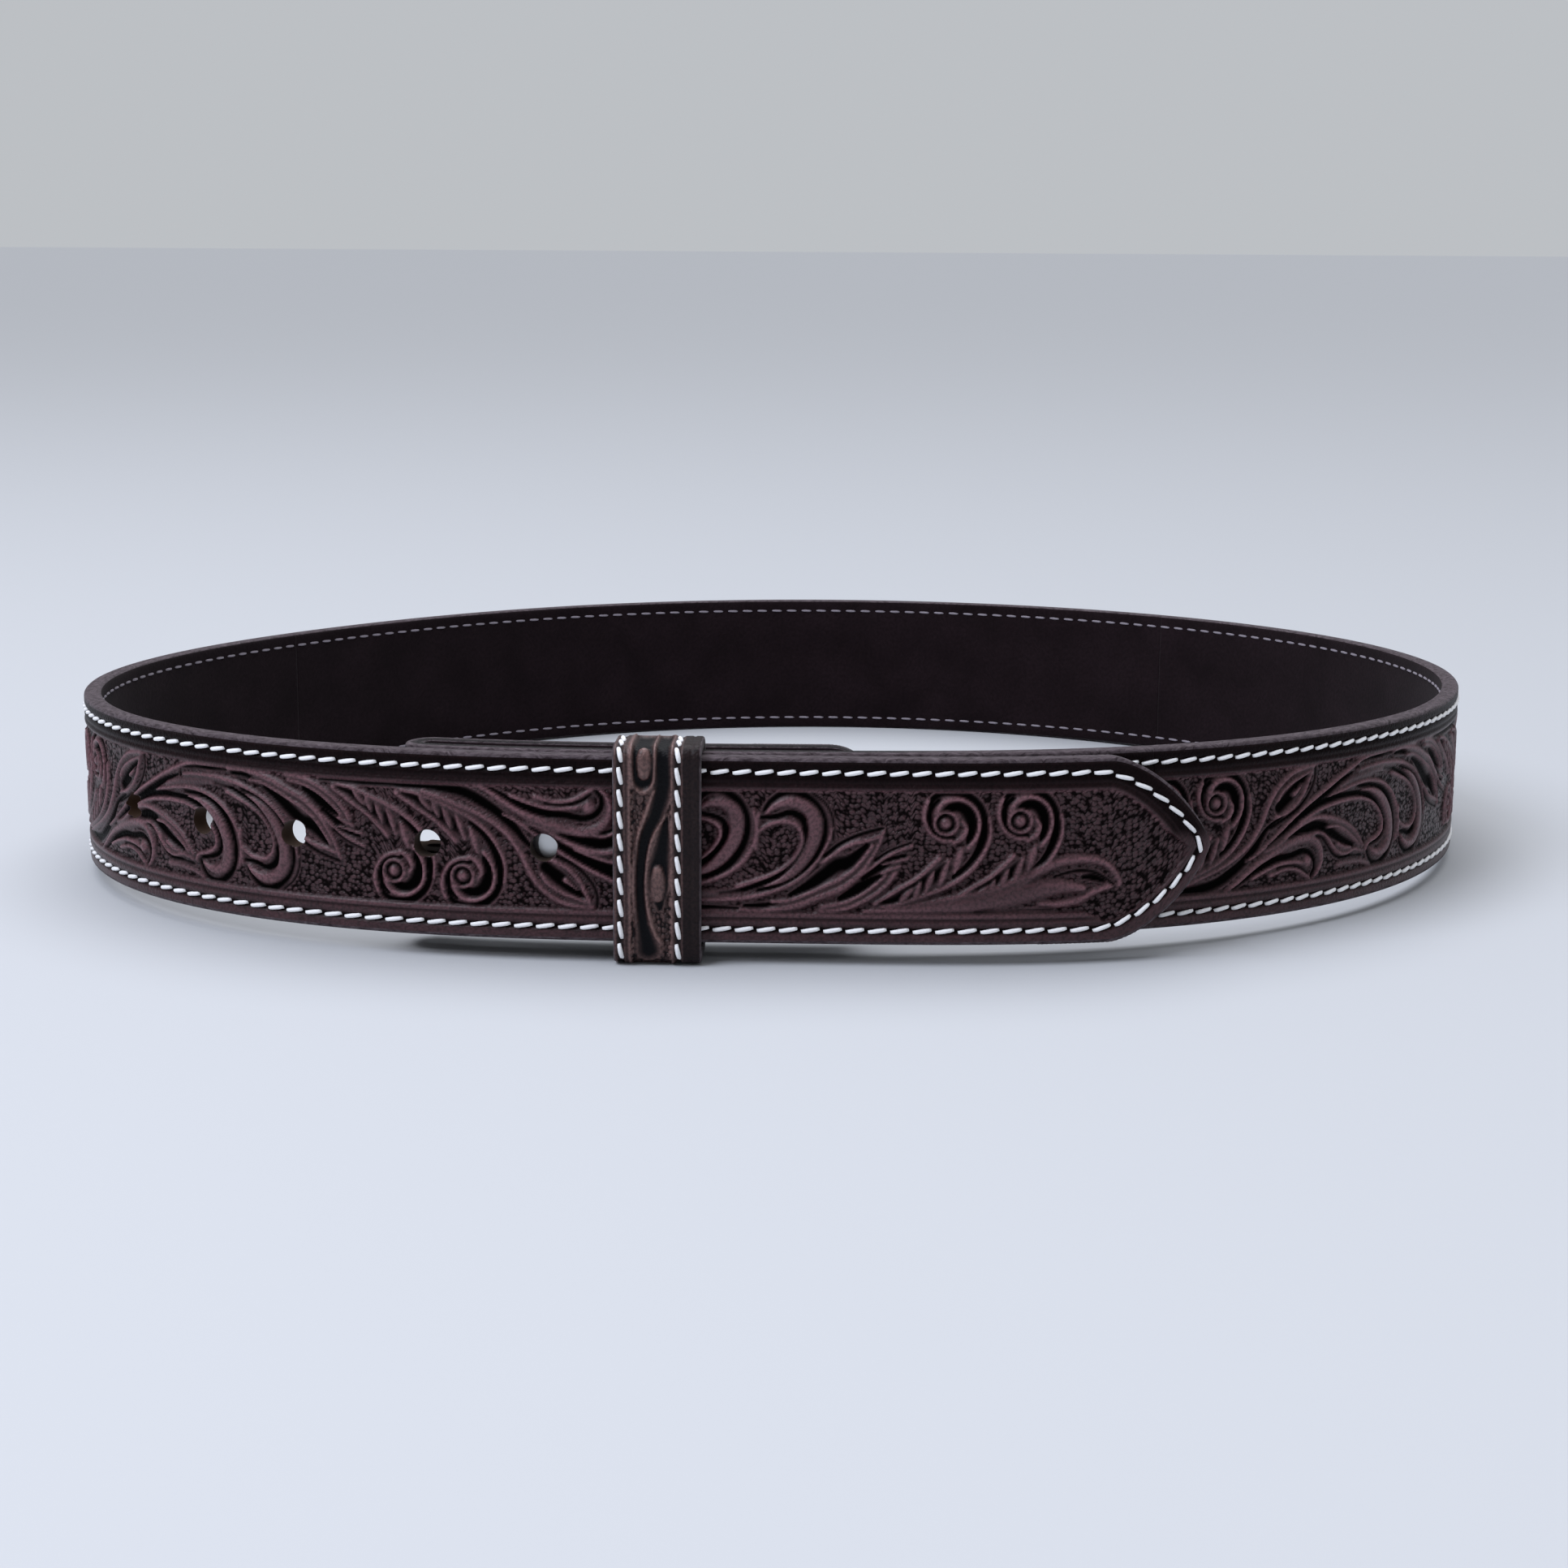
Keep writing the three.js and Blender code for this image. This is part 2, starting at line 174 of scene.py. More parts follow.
def strap_line(place):
    """Middle of the leather and the way its grain side faces, from free end to tip.
    A place counts along the strap from the fold line, and is below zero behind it."""
    place = np.asarray(place, float)[..., None]
    point, normal = ring_at(np.maximum(place[..., 0], 0))
    ring_point = point + normal * strap_offset(np.maximum(place, 0))
    fold_point, fold_normal = ring_at(np.zeros(1))
    fold_tangent = np.stack([-fold_normal[:, 1], fold_normal[:, 0]], -1)
    turn = math.pi * (1 + place / FOLD_ARC)
    bent_normal = -np.cos(turn) * fold_normal - np.sin(turn) * fold_tangent
    bent_point = fold_point - fold_normal * (LAYER_OFFSET + FOLD_RADIUS)
    bent_point = bent_point + bent_normal * FOLD_RADIUS
    back_point, back_normal = ring_at(np.maximum(-FOLD_ARC - place[..., 0], 0))
    back_point = back_point + back_normal * FOLD_BACK_OFFSET
    behind, folded = place < -FOLD_ARC, place < 0
    line = np.where(behind, back_point, np.where(folded, bent_point, ring_point))
    faces = np.where(behind, -back_normal, np.where(folded, bent_normal, normal))
    return line, faces


# The belt leans on its keeper, as the record's resting face says
RESTING = Vector(frame["record"]["mounts"][0]["axis"])
LEAN = math.atan2(-RESTING.y, -RESTING.z)


def leaned(points):
    """Millimetres of the level belt to metres, tilted as it leans."""
    x, y, z = np.moveaxis(np.asarray(points, float), -1, 0)
    cosine, sine = math.cos(LEAN), math.sin(LEAN)
    return np.stack([x, y * cosine + z * sine, z * cosine - y * sine], -1) * MM


def level_strap(place, height, across):
    """Points of the level belt at a place, height and distance out from the leather's middle."""
    line, faces = strap_line(place)
    flat = line + faces * np.asarray(across, float)[..., None]
    return np.concatenate([flat, np.asarray(height, float)[..., None]], -1)


def frame_shift(spots=4000):
    """Where the leaned belt's centre lands, from the strap's box in the frame."""
    places = np.linspace(STRAP_START, STRAP_END, spots)
    own = np.concatenate([leaned(level_strap(places, np.full(spots, z), np.full(spots, a)))
                          for z in (0, STRAP_WIDTH) for a in (-FACE, FACE)])
    low, high = (np.array(corner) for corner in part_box("strap"))
    shift = (low + high) / 2 - (own.min(0) + own.max(0)) / 2
    shift[2] = low[2] - own[:, 2].min()
    return shift


SHIFT = frame_shift()


def stand(points):
    """Millimetres of the level belt to metres of the frame."""
    return leaned(points) + SHIFT


# Outline of the flat strap

OUTLINE_STEP = 0.25
END_REACH = 8.0
POINT_GAP = 0.04
ROUNDED_REACH = 25
POINTED_REACH = 35
STITCH_POINT_REACH = 32
FREE_END_REACH = 40


def half_width(place):
    """Half of the strap's width, less at the rounded free end and the pointed tip."""
    back = np.clip((STRAP_END - place) / TIP_TAPER, 0, 1)
    tip = (1 - (1 - back) ** TIP_FULLNESS[0]) ** TIP_FULLNESS[1]
    inward = np.clip((place - STRAP_START) / FREE_END_CORNER, 0, 1)
    corner = (1 - (1 - inward) ** FREE_END_FULLNESS) ** (1 / FREE_END_FULLNESS)
    return np.minimum(MIDDLE * tip, MIDDLE - FREE_END_CORNER * (1 - corner))


def eased_ends(start, end, step):
    """Places a step apart, drawn together towards whichever strap end they reach."""
    places = np.linspace(start, end, int((end - start) / step))
    fine = END_REACH * np.linspace(0, 1, int(2 * END_REACH / step)) ** 2
    if start <= STRAP_START:
        places = np.r_[start + fine, places[places > start + END_REACH + step / 2]]
    if end >= STRAP_END:
        fine[0] = POINT_GAP
        places = np.r_[places[places < end - END_REACH - step / 2], (end - fine)[::-1]]
    return places


def lower_outline():
    """Lower half of the outline, from the middle of the free end to the tip."""
    places = eased_ends(STRAP_START, STRAP_END, OUTLINE_STEP)
    low = MIDDLE - half_width(places)
    cap = np.arange(MIDDLE, low[0], -OUTLINE_STEP)
    return np.stack([np.r_[np.full(len(cap), STRAP_START), places], np.r_[cap, low]], 1)


OUTLINE = lower_outline()


def nearest(place, height, line, reach=60, parts=12):
    """Distance of each spot to the nearest point of a line."""
    own = np.stack([place, height], 1)
    line = line[np.abs(line[:, 0] - place.mean()) < reach]
    best = np.full(len(own), np.inf)
    for part in np.array_split(line, parts):
        gap = np.hypot(own[:, :1] - part[None, :, 0], own[:, 1:] - part[None, :, 1])
        best = np.minimum(best, gap.min(1))
    return best


def edge_distance(place, height):
    """Distance to the nearest edge of the strap, along its surface."""
    folded_height = np.minimum(height, STRAP_WIDTH - height)
    distance = folded_height.copy()
    for near in (place < STRAP_START + ROUNDED_REACH, place > STRAP_END - POINTED_REACH):
        spots = np.flatnonzero(near)
        if len(spots):
            distance[spots] = nearest(place[spots], folded_height[spots], OUTLINE)
    return distance


def lower_stitch_line(spots=4800):
    """Lower half of the stitching: a fixed distance inside the edge, then drawn in to a point
    of its own at the tip, from the middle of the free end."""
    outline = OUTLINE[OUTLINE[:, 0] < STRAP_START + FREE_END_REACH]
    run = np.gradient(outline, axis=0)
    run /= np.linalg.norm(run, axis=1, keepdims=True)
    inside = outline + STITCH_INSET * np.stack([-run[:, 1], run[:, 0]], 1)
    inside = inside[inside[:, 1] < MIDDLE - 0.01]
    start = STRAP_START + FREE_END_REACH + 1
    places = np.linspace(start, STRAP_END - STITCH_POINT_INSET, spots)
    narrow = 1 - STITCH_INSET / MIDDLE
    low = MIDDLE - narrow * half_width(places + STITCH_POINT_INSET)
    return np.vstack([inside, np.stack([places, low], 1)])


STITCH_LINE = lower_stitch_line()


def stitch_distance(place, height, edge):
    """Distance to the line of the stitching, given the distance to the edge."""
    distance = np.abs(edge - STITCH_INSET)
    spots = np.flatnonzero(place > STRAP_END - STITCH_POINT_REACH)
    if len(spots):
        folded_height = np.minimum(height[spots], STRAP_WIDTH - height[spots])
        distance[spots] = nearest(place[spots], folded_height, STITCH_LINE)
    return distance


# Tooling chart

# Half of the pattern repeats upside down, half a period further along
HALF_PERIOD = 111.25
PERIOD = 2 * HALF_PERIOD
SPOTS_PER_MM = 8

# How each stroke of the tools shapes the surface, with heights in millimetres
STROKES = {
    "ridge": {"rise": 0.50, "dye": 0.0, "margin": 0.3, "round": 1.0, "wider": 0.1},
    "band": {"rise": 0.50, "dye": 0.0, "margin": 0.3, "round": 1.6, "wider": 0},
    "hollow": {"rise": -0.60, "dye": 0.97, "margin": 0.25, "round": 1.2, "wider": 0.4},
    "cut": {"rise": -0.50, "dye": 0.95, "margin": 0.15, "round": 0.8, "wider": 0.15},
    "bead": {"rise": 0.50, "dye": 0.0, "margin": 0.3, "round": 1.4, "wider": 0},
    "dip": {"rise": -0.40, "dye": 0.55, "margin": 0.25, "round": 1.2, "wider": 0},
    "worn": {"rise": 0.12, "dye": 0.0, "margin": 0.3, "round": 2.0, "wider": 0},
}
GROUND_DEPTH = 0.40
SMOOTH_DEPTH = 0.12
MARGIN_FADE = 0.3

# A raised stroke this high covers what lies below it, and takes this share of its hollow
COVERING_RISE = 0.25
HOLLOW_LOST = 0.85

# How far the maps are blurred: the worked surface, what counts as a crest, and its surroundings
SOFT_REACH = 0.1
CREST_REACH = 0.12
HUMP_REACH = 1.1

# How paste gathers below the surroundings, and how what stands above them is lightened by rubbing,
# partly as painted highlight
PASTE = {"gain": 1.4, "floor": 0.06, "most": 0.5}
RUBBING_AND_HIGHLIGHT = {"gain": 2.1, "floor": 0.08}
TOOLED_PARTS = ("surface", "dye", "crest", "ground")

# Each row is a stroke: its kind, its widths from start to end, and its route
STEM = [
    ("hollow", (2.6, 2.4, 1.6, 0.3), [(-6, 6.8), (0, 8), (4, 9.8), (8, 12.5), (11, 15.3), (14, 18.8),
     (18, 21)]),
    ("ridge", (0.9, 1.0), [(-8, 8.2), (0, 11), (4, 12.7), (8, 15.2), (10.5, 17.8), (12.5, 21),
     (14, 24.3), (16.5, 27.6), (20, 30), (24, 31), (26.6, 31.2)]),
]
SMALL_LEAF = [
    ("cut", (0.8, 0.8), [(27.2, 31.5), (27.4, 29), (26.6, 26.6), (24.6, 24), (22, 22), (18.5, 20.4),
     (15, 18.8)]),
    ("hollow", (2.5, 3.0, 2.2, 0.4), [(17, 23), (19.5, 25), (22, 27), (24.5, 29)]),
    ("ridge", (0.7, 0.7), [(16.3, 24.6), (17.5, 26.4), (20.3, 28.2), (23.5, 29.4), (26, 30.2)]),
    ("ridge", (0.7, 0.7), [(16, 21), (19, 21.8), (22, 23.6), (24, 26), (25.1, 28.3), (26, 30)]),
    ("ridge", (1.3, 0.3), [(21, 25.6), (22.3, 26.6), (23.4, 27.6)]),
]
ARCH = [
    ("ridge", (0.5, 0.8, 0.8, 0.6), [(8.5, 12.4), (12, 14.2), (16, 16.9), (20, 19.8), (24, 22.3),
     (28, 24.3), (32, 26.2), (36, 28.1), (40, 29.7), (44, 30.9), (50, 31.3), (56, 31.4)]),
    ("hollow", (0.6, 1.8, 0.3), [(20, 18.7), (24, 21.2), (28, 23.2), (32, 25), (36, 26.8),
     (40, 28.2)]),
    ("hollow", (0.3, 0.9, 0.6), [(42, 30.2), (48, 30.7), (55.5, 30.9)]),
    ("hollow", (0.5, 0.9, 0.4), [(57, 30.3), (61, 30.1), (63.5, 29.5)]),
    ("worn", (1.2, 1.2), [(36, 26), (42, 27), (50, 27.8), (56, 27.6)]),
]
FIRST_SCROLL = [
    ("hollow", (0.5, 1.8, 1.0, 1.6, 0.5), [(14, 15.2), (18, 17.5), (22, 19.8), (26, 21.8), (30, 22.9),
     (36, 23.6), (42, 23.5), (46, 22.6), (49.5, 20.8), (52, 18), (53.2, 15.3), (52.6, 13),
     (50.5, 11.9), (47.2, 11.3)]),
    ("ridge", (0.3, 0.9, 0.9, 0.3), [(32, 23.9), (36, 24.7), (40, 25.5), (45, 25.8), (50, 25),
     (54, 23.2), (57, 20.6), (58.8, 17.4), (59.3, 14), (58.7, 10.8)]),
    ("cut", (0.7, 2.3, 2.3, 1.0), [(42, 24.9), (47, 24.7), (51, 23.6), (54, 21.4), (56.2, 18.3),
     (57.2, 15), (57.1, 12), (56, 9.2), (54, 7.4), (51.5, 6.7), (49, 7.3), (47.5, 8.8), (46.7, 10.5)]),
    ("band", (0.4, 1.2, 2.2, 2.8, 3.0, 3.2, 3.4, 2.8, 1.8, 0.5), [(43.5, 23.9), (47, 23.6), (50.5, 22),
     (53.2, 19.5), (55, 16.5), (55.5, 13.3), (54.8, 10.7), (52.6, 9.3), (50, 9.3), (48, 10.3)]),
    ("ridge", (0.7, 0.7), [(23, 19.3), (27, 20.8), (31, 21.8), (36, 22.4), (42, 22.4), (46, 21.5),
     (49, 20), (51.2, 17.8), (52.2, 15.6), (51.6, 13.8), (49.5, 12.6), (46.5, 11.8), (45.6, 10.6)]),
]
WAVED_LEAF = [
    ("hollow", (0.5, 2.2, 2.2, 0.8), [(20, 16), (24, 17.3), (28, 18), (31, 17.4), (34, 15.6),
     (37.5, 13.8), (41, 12.3)]),
    ("ridge", (0.5, 1.2, 1.0, 0.6), [(13.5, 14), (17, 15.2), (20, 17), (24, 19), (28, 19.8),
     (32, 19.3), (36, 18.1), (40, 16.2), (42.6, 14), (44.6, 11.6)]),
    ("ridge", (0.4, 0.9, 0.9, 0.4), [(26.5, 16.3), (29, 16.4), (31.5, 15.2), (33.5, 13), (35.6, 11.3),
     (38.3, 10.7), (41.3, 11.2), (44.6, 10.5)]),
    ("cut", (0.6, 1.0, 0.6), [(26, 15.7), (30, 15.4), (32.4, 13.3), (34.5, 11), (37, 9.9), (40, 9.9),
     (44.6, 9.5)]),
    ("ridge", (0.8, 0.8), [(32, 17.3), (35, 17.1), (38, 15.8), (41, 13.7), (43.2, 12)]),
    ("ridge", (0.8, 0.6), [(35.5, 13.2), (37.6, 12.1), (40, 11.9)]),
    ("worn", (0.9, 0.6), [(36, 8.5), (40, 8.6), (44, 8.2), (46, 7.7), (48, 6.8)]),
]
CURLED_LEAF = [
    ("hollow", (0.4, 1.3, 1.4, 0.6), [(5, 6.7), (9, 8.8), (13, 10.8), (17, 12), (21, 12.3),
     (24.5, 12.9), (26.8, 12.3), (28.2, 10.6), (28.3, 8.8), (27.3, 7.2)]),
    ("ridge", (0.6, 1.4, 2.4, 2.0, 0.4), [(3, 6.3), (6, 7.9), (9, 10), (12, 11.8), (16, 13.6),
     (20, 15), (24, 15.7), (27, 15.3), (29, 13.8), (30, 11.8), (30, 9.8), (29, 7.9), (27.6, 6.8)]),
    ("bead", (2.6,), [(25.7, 10.5)]),
    ("ridge", (0.8, 0.8), [(10, 8.6), (14, 10), (18, 10.9), (22, 10.8), (24.3, 10.4)]),
    ("ridge", (0.9, 0.6), [(15, 8.7), (19, 9.6), (22.5, 9.2), (25, 7.8), (26.8, 6.7)]),
    ("cut", (0.5, 0.5), [(17, 9.9), (21, 10.1), (24, 9.4), (26.3, 7.9)]),
]
SECOND_SCROLL = [
    ("hollow", (0.4, 1.0, 1.8, 0.6), [(52, 27.7), (56, 27.2), (60, 25.8), (63.5, 24.3), (66.5, 21.8),
     (68.7, 18.6), (69.6, 15.5), (68.8, 12.7), (66.3, 11.2), (63.3, 11.9), (60.4, 12.2)]),
    ("ridge", (0.4, 0.9, 0.9, 0.3), [(42, 28.5), (46, 28.9), (52, 29), (58, 28.4), (62, 27.3),
     (66, 25.7), (69.3, 23.3), (71.8, 20.3), (73.6, 17), (74.6, 14)]),
    ("cut", (0.5, 0.5), [(74.7, 16.5), (74.6, 12.5), (73.2, 9.3), (70.5, 7)]),
    ("cut", (0.7, 2.4, 2.4, 1.0), [(59.5, 27.1), (63.5, 26), (67, 23.9), (70, 20.8), (72, 17.3),
     (72.7, 14), (72, 11), (70, 8.4), (67.5, 6.9), (64.5, 7.2), (62, 9), (60.9, 10.8)]),
    ("band", (0.4, 2.2, 3.0, 3.6, 2.4, 0.6), [(61, 26.2), (64.5, 24.7), (67.5, 22.3), (69.8, 19),
     (71, 15.5), (70.8, 12), (69, 9.7), (66, 8.9), (63, 9.7), (61.2, 11.2)]),
    ("ridge", (0.7, 0.7), [(55.5, 26.3), (59, 25.1), (62, 24), (65, 22.3), (67.2, 20), (68.5, 17.2),
     (68.2, 14.8), (66.6, 13.2), (64, 12.9), (61.5, 13.7), (59.8, 14.9)]),
    ("ridge", (0.5, 0.5), [(59.2, 18.5), (59.5, 15), (59.7, 11.5)]),
]
LONG_LEAF = [
    ("hollow", (0.6, 2.6, 3.4, 0.5), [(66, 28), (70, 25.8), (73, 23.6), (75.5, 21.8), (78, 20.8),
     (81.5, 17.5)]),
    ("ridge", (0.5, 1.6, 1.2, 0.4), [(56, 31), (60, 31.3), (64, 30.8), (68, 29.8), (72, 28.2),
     (76, 26.5), (79.5, 23.8), (82, 20.5), (83.7, 17.3), (84.6, 14.6)]),
    ("ridge", (0.8, 0.8), [(62.5, 29.4), (66, 29), (69.5, 27.6), (73, 26), (76, 24.6), (78.6, 22.6),
     (80.8, 20), (82.4, 17.6)]),
    ("ridge", (0.8, 0.6), [(72.5, 21), (74.5, 19.6), (76.4, 18.2), (79, 17.1), (81.5, 16.5),
     (83.6, 15.8)]),
    ("cut", (1.0, 0.8), [(73, 19.9), (75.5, 17.7), (78.5, 16), (81.5, 14.9), (84.4, 14.1)]),
]
NEXT_LEAF = [
    ("hollow", (0.8, 2.6, 1.0), [(76, 28.6), (79, 27), (82, 25), (84, 24)]),
    ("hollow", (0.6, 1.4, 0.6), [(80.5, 24.5), (83, 22.8), (86, 20.7), (89, 19.6)]),
    ("ridge", (1.0, 0.8), [(72, 31.3), (75, 31), (78, 30.2), (81, 28.8), (84, 26.8), (86, 24.6),
     (87, 23)]),
    ("ridge", (0.8, 0.6), [(72.5, 30.2), (76, 29.6), (79.5, 28.1), (82.5, 26), (85, 23.7)]),
    ("ridge", (0.8, 0.3), [(80, 23.6), (82.5, 21.9), (84.5, 20.3), (87, 18.8), (90.2, 17.6)]),
    ("ridge", (0.6, 0.4), [(84.3, 23.2), (86, 22.4), (87.8, 21.7)]),
    ("ridge", (0.6, 0.4), [(84.5, 21.4), (87, 20.7), (89.4, 20.1)]),
    ("cut", (0.6, 0.5), [(83, 20.6), (86, 18.6), (90, 17)]),
]
SCROLL_EYE = (96.8, 13)


def ring_round(centre, radius):
    """Route of a stroke that goes once round a centre."""
    return [(centre[0] + radius * math.cos(turn), centre[1] + radius * math.sin(turn))
            for turn in np.linspace(0, 2 * math.pi, 13)]


BARBED_SCROLL = [
    ("dip", (0.6, 2.6, 3.0, 2.5), [(84, 29.4), (87.5, 28.4), (91, 26.3), (94.5, 24), (97, 22)]),
    ("hollow", (0.5, 1.5, 1.5, 0.9), [(98.4, 24), (101, 21.8), (103, 19), (104.3, 15.5), (104.3, 12),
     (103.2, 9.3), (100.8, 7.3), (98, 6.7), (95, 7.4), (93.3, 9.3)]),
    ("hollow", (0.8, 2.9, 1.3), [(101.3, 17), (102, 14), (101.6, 11.5), (100, 9.9), (98, 9.8),
     (96.6, 10.8)]),
    ("hollow", (0.5, 1.0, 0.6), [(98.5, 15.9), (96.5, 16.0), (94.4, 14.6), (93.6, 12), (94, 9.9),
     (95.4, 8.3)]),
    ("ridge", (0.5, 1.0, 0.9, 0.4), [(84, 30.2), (88, 29.4), (92, 28), (96, 26.4), (99, 24.8),
     (102, 22.3), (104.3, 19), (105.5, 15.5), (105.3, 12)]),
    ("ridge", (0.8, 0.8), [(83, 29.5), (85.5, 27.9), (88, 26.3), (91, 24.5), (93.5, 22.3),
     (95.6, 20.1)]),
    ("ridge", (0.9, 0.9), [(101.2, 18), (102.9, 15.6), (103.4, 12.8), (102.6, 10.2), (100.6, 8.5),
     (98.3, 8.1), (96, 9), (95, 10.8)]),
    ("ridge", (0.7, 0.7), [(98, 16.4), (96.3, 16.4), (94.2, 15.2), (92.9, 13), (92.6, 10.6),
     (93.4, 8.4)]),
    ("ridge", (0.6, 1.3, 0.3), [(98.2, 17), (100, 15.9), (100.9, 14), (100, 12.6)]),
    ("bead", (2.1,), [SCROLL_EYE]),
    ("cut", (0.6, 0.6), ring_round(SCROLL_EYE, 1.55)),
    ("ridge", (0.7, 0.7), ring_round(SCROLL_EYE, 2.3)),
] + [
    ("ridge", (0.6, 1.5, 1.4, 0.5), route) for route in (
        [(88, 28.9), (90.6, 26.2)],
        [(90.8, 28.2), (92, 25)],
        [(93, 26.9), (94.6, 22.8)],
        [(95.7, 25.6), (97.5, 20.6)],
        [(98.6, 23), (100.1, 18)],
    )
]
TOP_STEM = [
    ("hollow", (0.4, 1.0, 1.6, 0.8), [(80, 31), (90, 30.8), (98, 30.9), (108, 30.6), (112, 29.5),
     (116, 27.2), (120, 25.2)]),
]
SECOND_BARBED_STEP = (14.6, -0.4)

# The last leaf of the chart fills the pointed tip, past the whole pattern
TIP_LEAF = [
    ("band", (0.5, 1.6, 2.8, 4.0, 4.4, 3.6, 1.4), [(192, 6.9), (200, 7.1), (207, 7.8), (213, 8.7),
     (219, 9.8), (225, 11), (231, 11.9), (236, 11.4)]),
    ("ridge", (0.3, 0.9, 1.6, 2.2, 1.6, 0.6), [(196, 7.4), (203, 8.5), (210, 9.9), (216, 11),
     (220, 12.4), (224, 14), (227, 15.4), (230, 16.6), (233.5, 17.3), (238, 17.2), (241.5, 15.8),
     (243.6, 13), (243.8, 11.8)]),
    ("cut", (0.5, 0.9, 0.5), [(230, 13.9), (233.4, 14.8), (236, 15), (238.8, 14.5), (241, 13.2),
     (242.5, 12.05)]),
    ("hollow", (0.6, 1.6, 0.6), [(236, 13.7), (238.5, 13.5), (240.5, 12.7)]),
    ("ridge", (0.6, 1.4, 0.8), [(227, 8.45), (231.4, 8.3), (235.4, 9.1), (238.4, 10.6), (242, 11.7)]),
    ("dip", (0.4, 0.5), [(214, 6.9), (222, 7.1), (230, 7.2)]),
]


def moved(strokes, step):
    """The same strokes, a step further along and up."""
    return [(kind, widths, [(x + step[0], z + step[1]) for x, z in route])
            for kind, widths, route in strokes]


HALF_MOTIF = (
    STEM + ARCH + FIRST_SCROLL + SECOND_SCROLL + CURLED_LEAF + WAVED_LEAF + SMALL_LEAF
    + LONG_LEAF + NEXT_LEAF + TOP_STEM + BARBED_SCROLL
    + moved(BARBED_SCROLL, SECOND_BARBED_STEP)
)


def flowing(route, step=0.2):
    """Points a small step apart on a smooth curve through a stroke's route."""
    points = np.array(route, float)
    if len(points) < 3:
        count = max(int(np.linalg.norm(points[-1] - points[0]) / step), 1)
        share = np.linspace(0, 1, count + 1)[:, None]
        return points[0] * (1 - share) + points[-1] * share
    padded = np.vstack([2 * points[0] - points[1], points, 2 * points[-1] - points[-2]])
    pieces = []
    for a, b, c, d in zip(padded, padded[1:], padded[2:], padded[3:]):
        t = np.linspace(0, 1, max(int(np.linalg.norm(c - b) / step), 2), endpoint=False)[:, None]
        bend = (2 * a - 5 * b + 4 * c - d) * t ** 2 + (3 * b - a - 3 * c + d) * t ** 3
        pieces.append((2 * b + (c - a) * t + bend) / 2)
    return np.vstack(pieces + [points[-1:]])


def spots_near(middle, reach):
    """Numbers of the map's spots within reach of a distance in millimetres."""
    return np.arange(int((middle - reach) * SPOTS_PER_MM), int((middle + reach) * SPOTS_PER_MM) + 2)


def tool_surface(strokes, length, height, wraps):
    """Works the strokes into a flat piece of leather, and returns its maps: how high the
    surface lies in millimetres, how much dye settled in it, and where it is left smooth."""
    columns, rows = int(length * SPOTS_PER_MM), int(height * SPOTS_PER_MM)
    raised, sunk, dyed, smooth = (np.zeros((columns, rows)) for _ in range(4))
    for kind, widths, route in strokes:
        tool = STROKES[kind]
        curve = flowing(route)
        halves = np.interp(np.linspace(0, 1, len(curve)), np.linspace(0, 1, len(widths)), widths)
        halves = (halves + tool["wider"]) / 2
        for (x, z), half in zip(curve, halves):
            reach = half + tool["margin"] + MARGIN_FADE + 0.1
            i, j = spots_near(x, reach), spots_near(z, reach)
            j = j[(j >= 0) & (j < rows)]
            if not wraps:
                i = i[(i >= 0) & (i < columns)]
            if not len(i) or not len(j):
                continue
            gap = np.hypot((i[:, None] / SPOTS_PER_MM - x), (j[None, :] / SPOTS_PER_MM - z))
            own = np.clip(1 - (gap / half) ** (2 * tool["round"]), 0, 1)
            spots = np.ix_(i % columns, j)
            if tool["rise"] > 0:
                raised[spots] = np.maximum(raised[spots], tool["rise"] * own)
            else:
                sunk[spots] = np.maximum(sunk[spots], -tool["rise"] * own)
                dyed[spots] = np.maximum(dyed[spots], tool["dye"] * np.sqrt(own))
            margin = np.clip((half + tool["margin"] - gap) / MARGIN_FADE + 0.5, 0, 1)
            smooth[spots] = np.maximum(smooth[spots], margin)
    covered = np.clip(raised / COVERING_RISE, 0, 1)
    level = -GROUND_DEPTH + (GROUND_DEPTH - SMOOTH_DEPTH) * smooth
    surface = level + raised - sunk * (1 - HOLLOW_LOST * covered)
    return surface, dyed * (1 - covered), smooth


def softened(spots, reach):
    """Blurs a map evenly, by a reach in millimetres."""
    across, lengthwise = (np.fft.fftfreq(n) * SPOTS_PER_MM for n in spots.shape)
    distance = across[:, None] ** 2 + lengthwise[None, :] ** 2
    return np.fft.ifft2(np.fft.fft2(spots) * np.exp(-2 * (math.pi * reach) ** 2 * distance)).real


class Tooling:
    """Maps of a worked surface, looked up at places in millimetres."""

    def __init__(self, strokes, length, height, wraps=True):
        surface, dyed, smooth = tool_surface(strokes, length, height, wraps)
        hump = surface - softened(surface, HUMP_REACH)
        gathered = np.clip(-hump * PASTE["gain"] - PASTE["floor"], 0, PASTE["most"])
        rubbed_highlight = softened(hump, CREST_REACH) * RUBBING_AND_HIGHLIGHT["gain"] - RUBBING_AND_HIGHLIGHT["floor"]
        self.maps = {"surface": softened(surface, SOFT_REACH),
                     "dye": np.clip(softened(dyed, SOFT_REACH) + gathered, 0, 1),
                     "crest": np.clip(rubbed_highlight, 0, 1), "ground": 1 - smooth}

    def at(self, part, length, height):
        """One of the maps, blended between its spots."""
        spots = self.maps[part]
        i = (length * SPOTS_PER_MM) % spots.shape[0]
        j = np.clip(height * SPOTS_PER_MM, 0, spots.shape[1] - 1.001)
        i0, j0 = np.floor(i).astype(int), np.floor(j).astype(int)
        fi, fj = i - i0, j - j0
        i0 %= spots.shape[0]
        i1 = (i0 + 1) % spots.shape[0]
        low = spots[i0, j0] * (1 - fi) + spots[i1, j0] * fi
        high = spots[i0, j0 + 1] * (1 - fi) + spots[i1, j0 + 1] * fi
        return low * (1 - fj) + high * fj


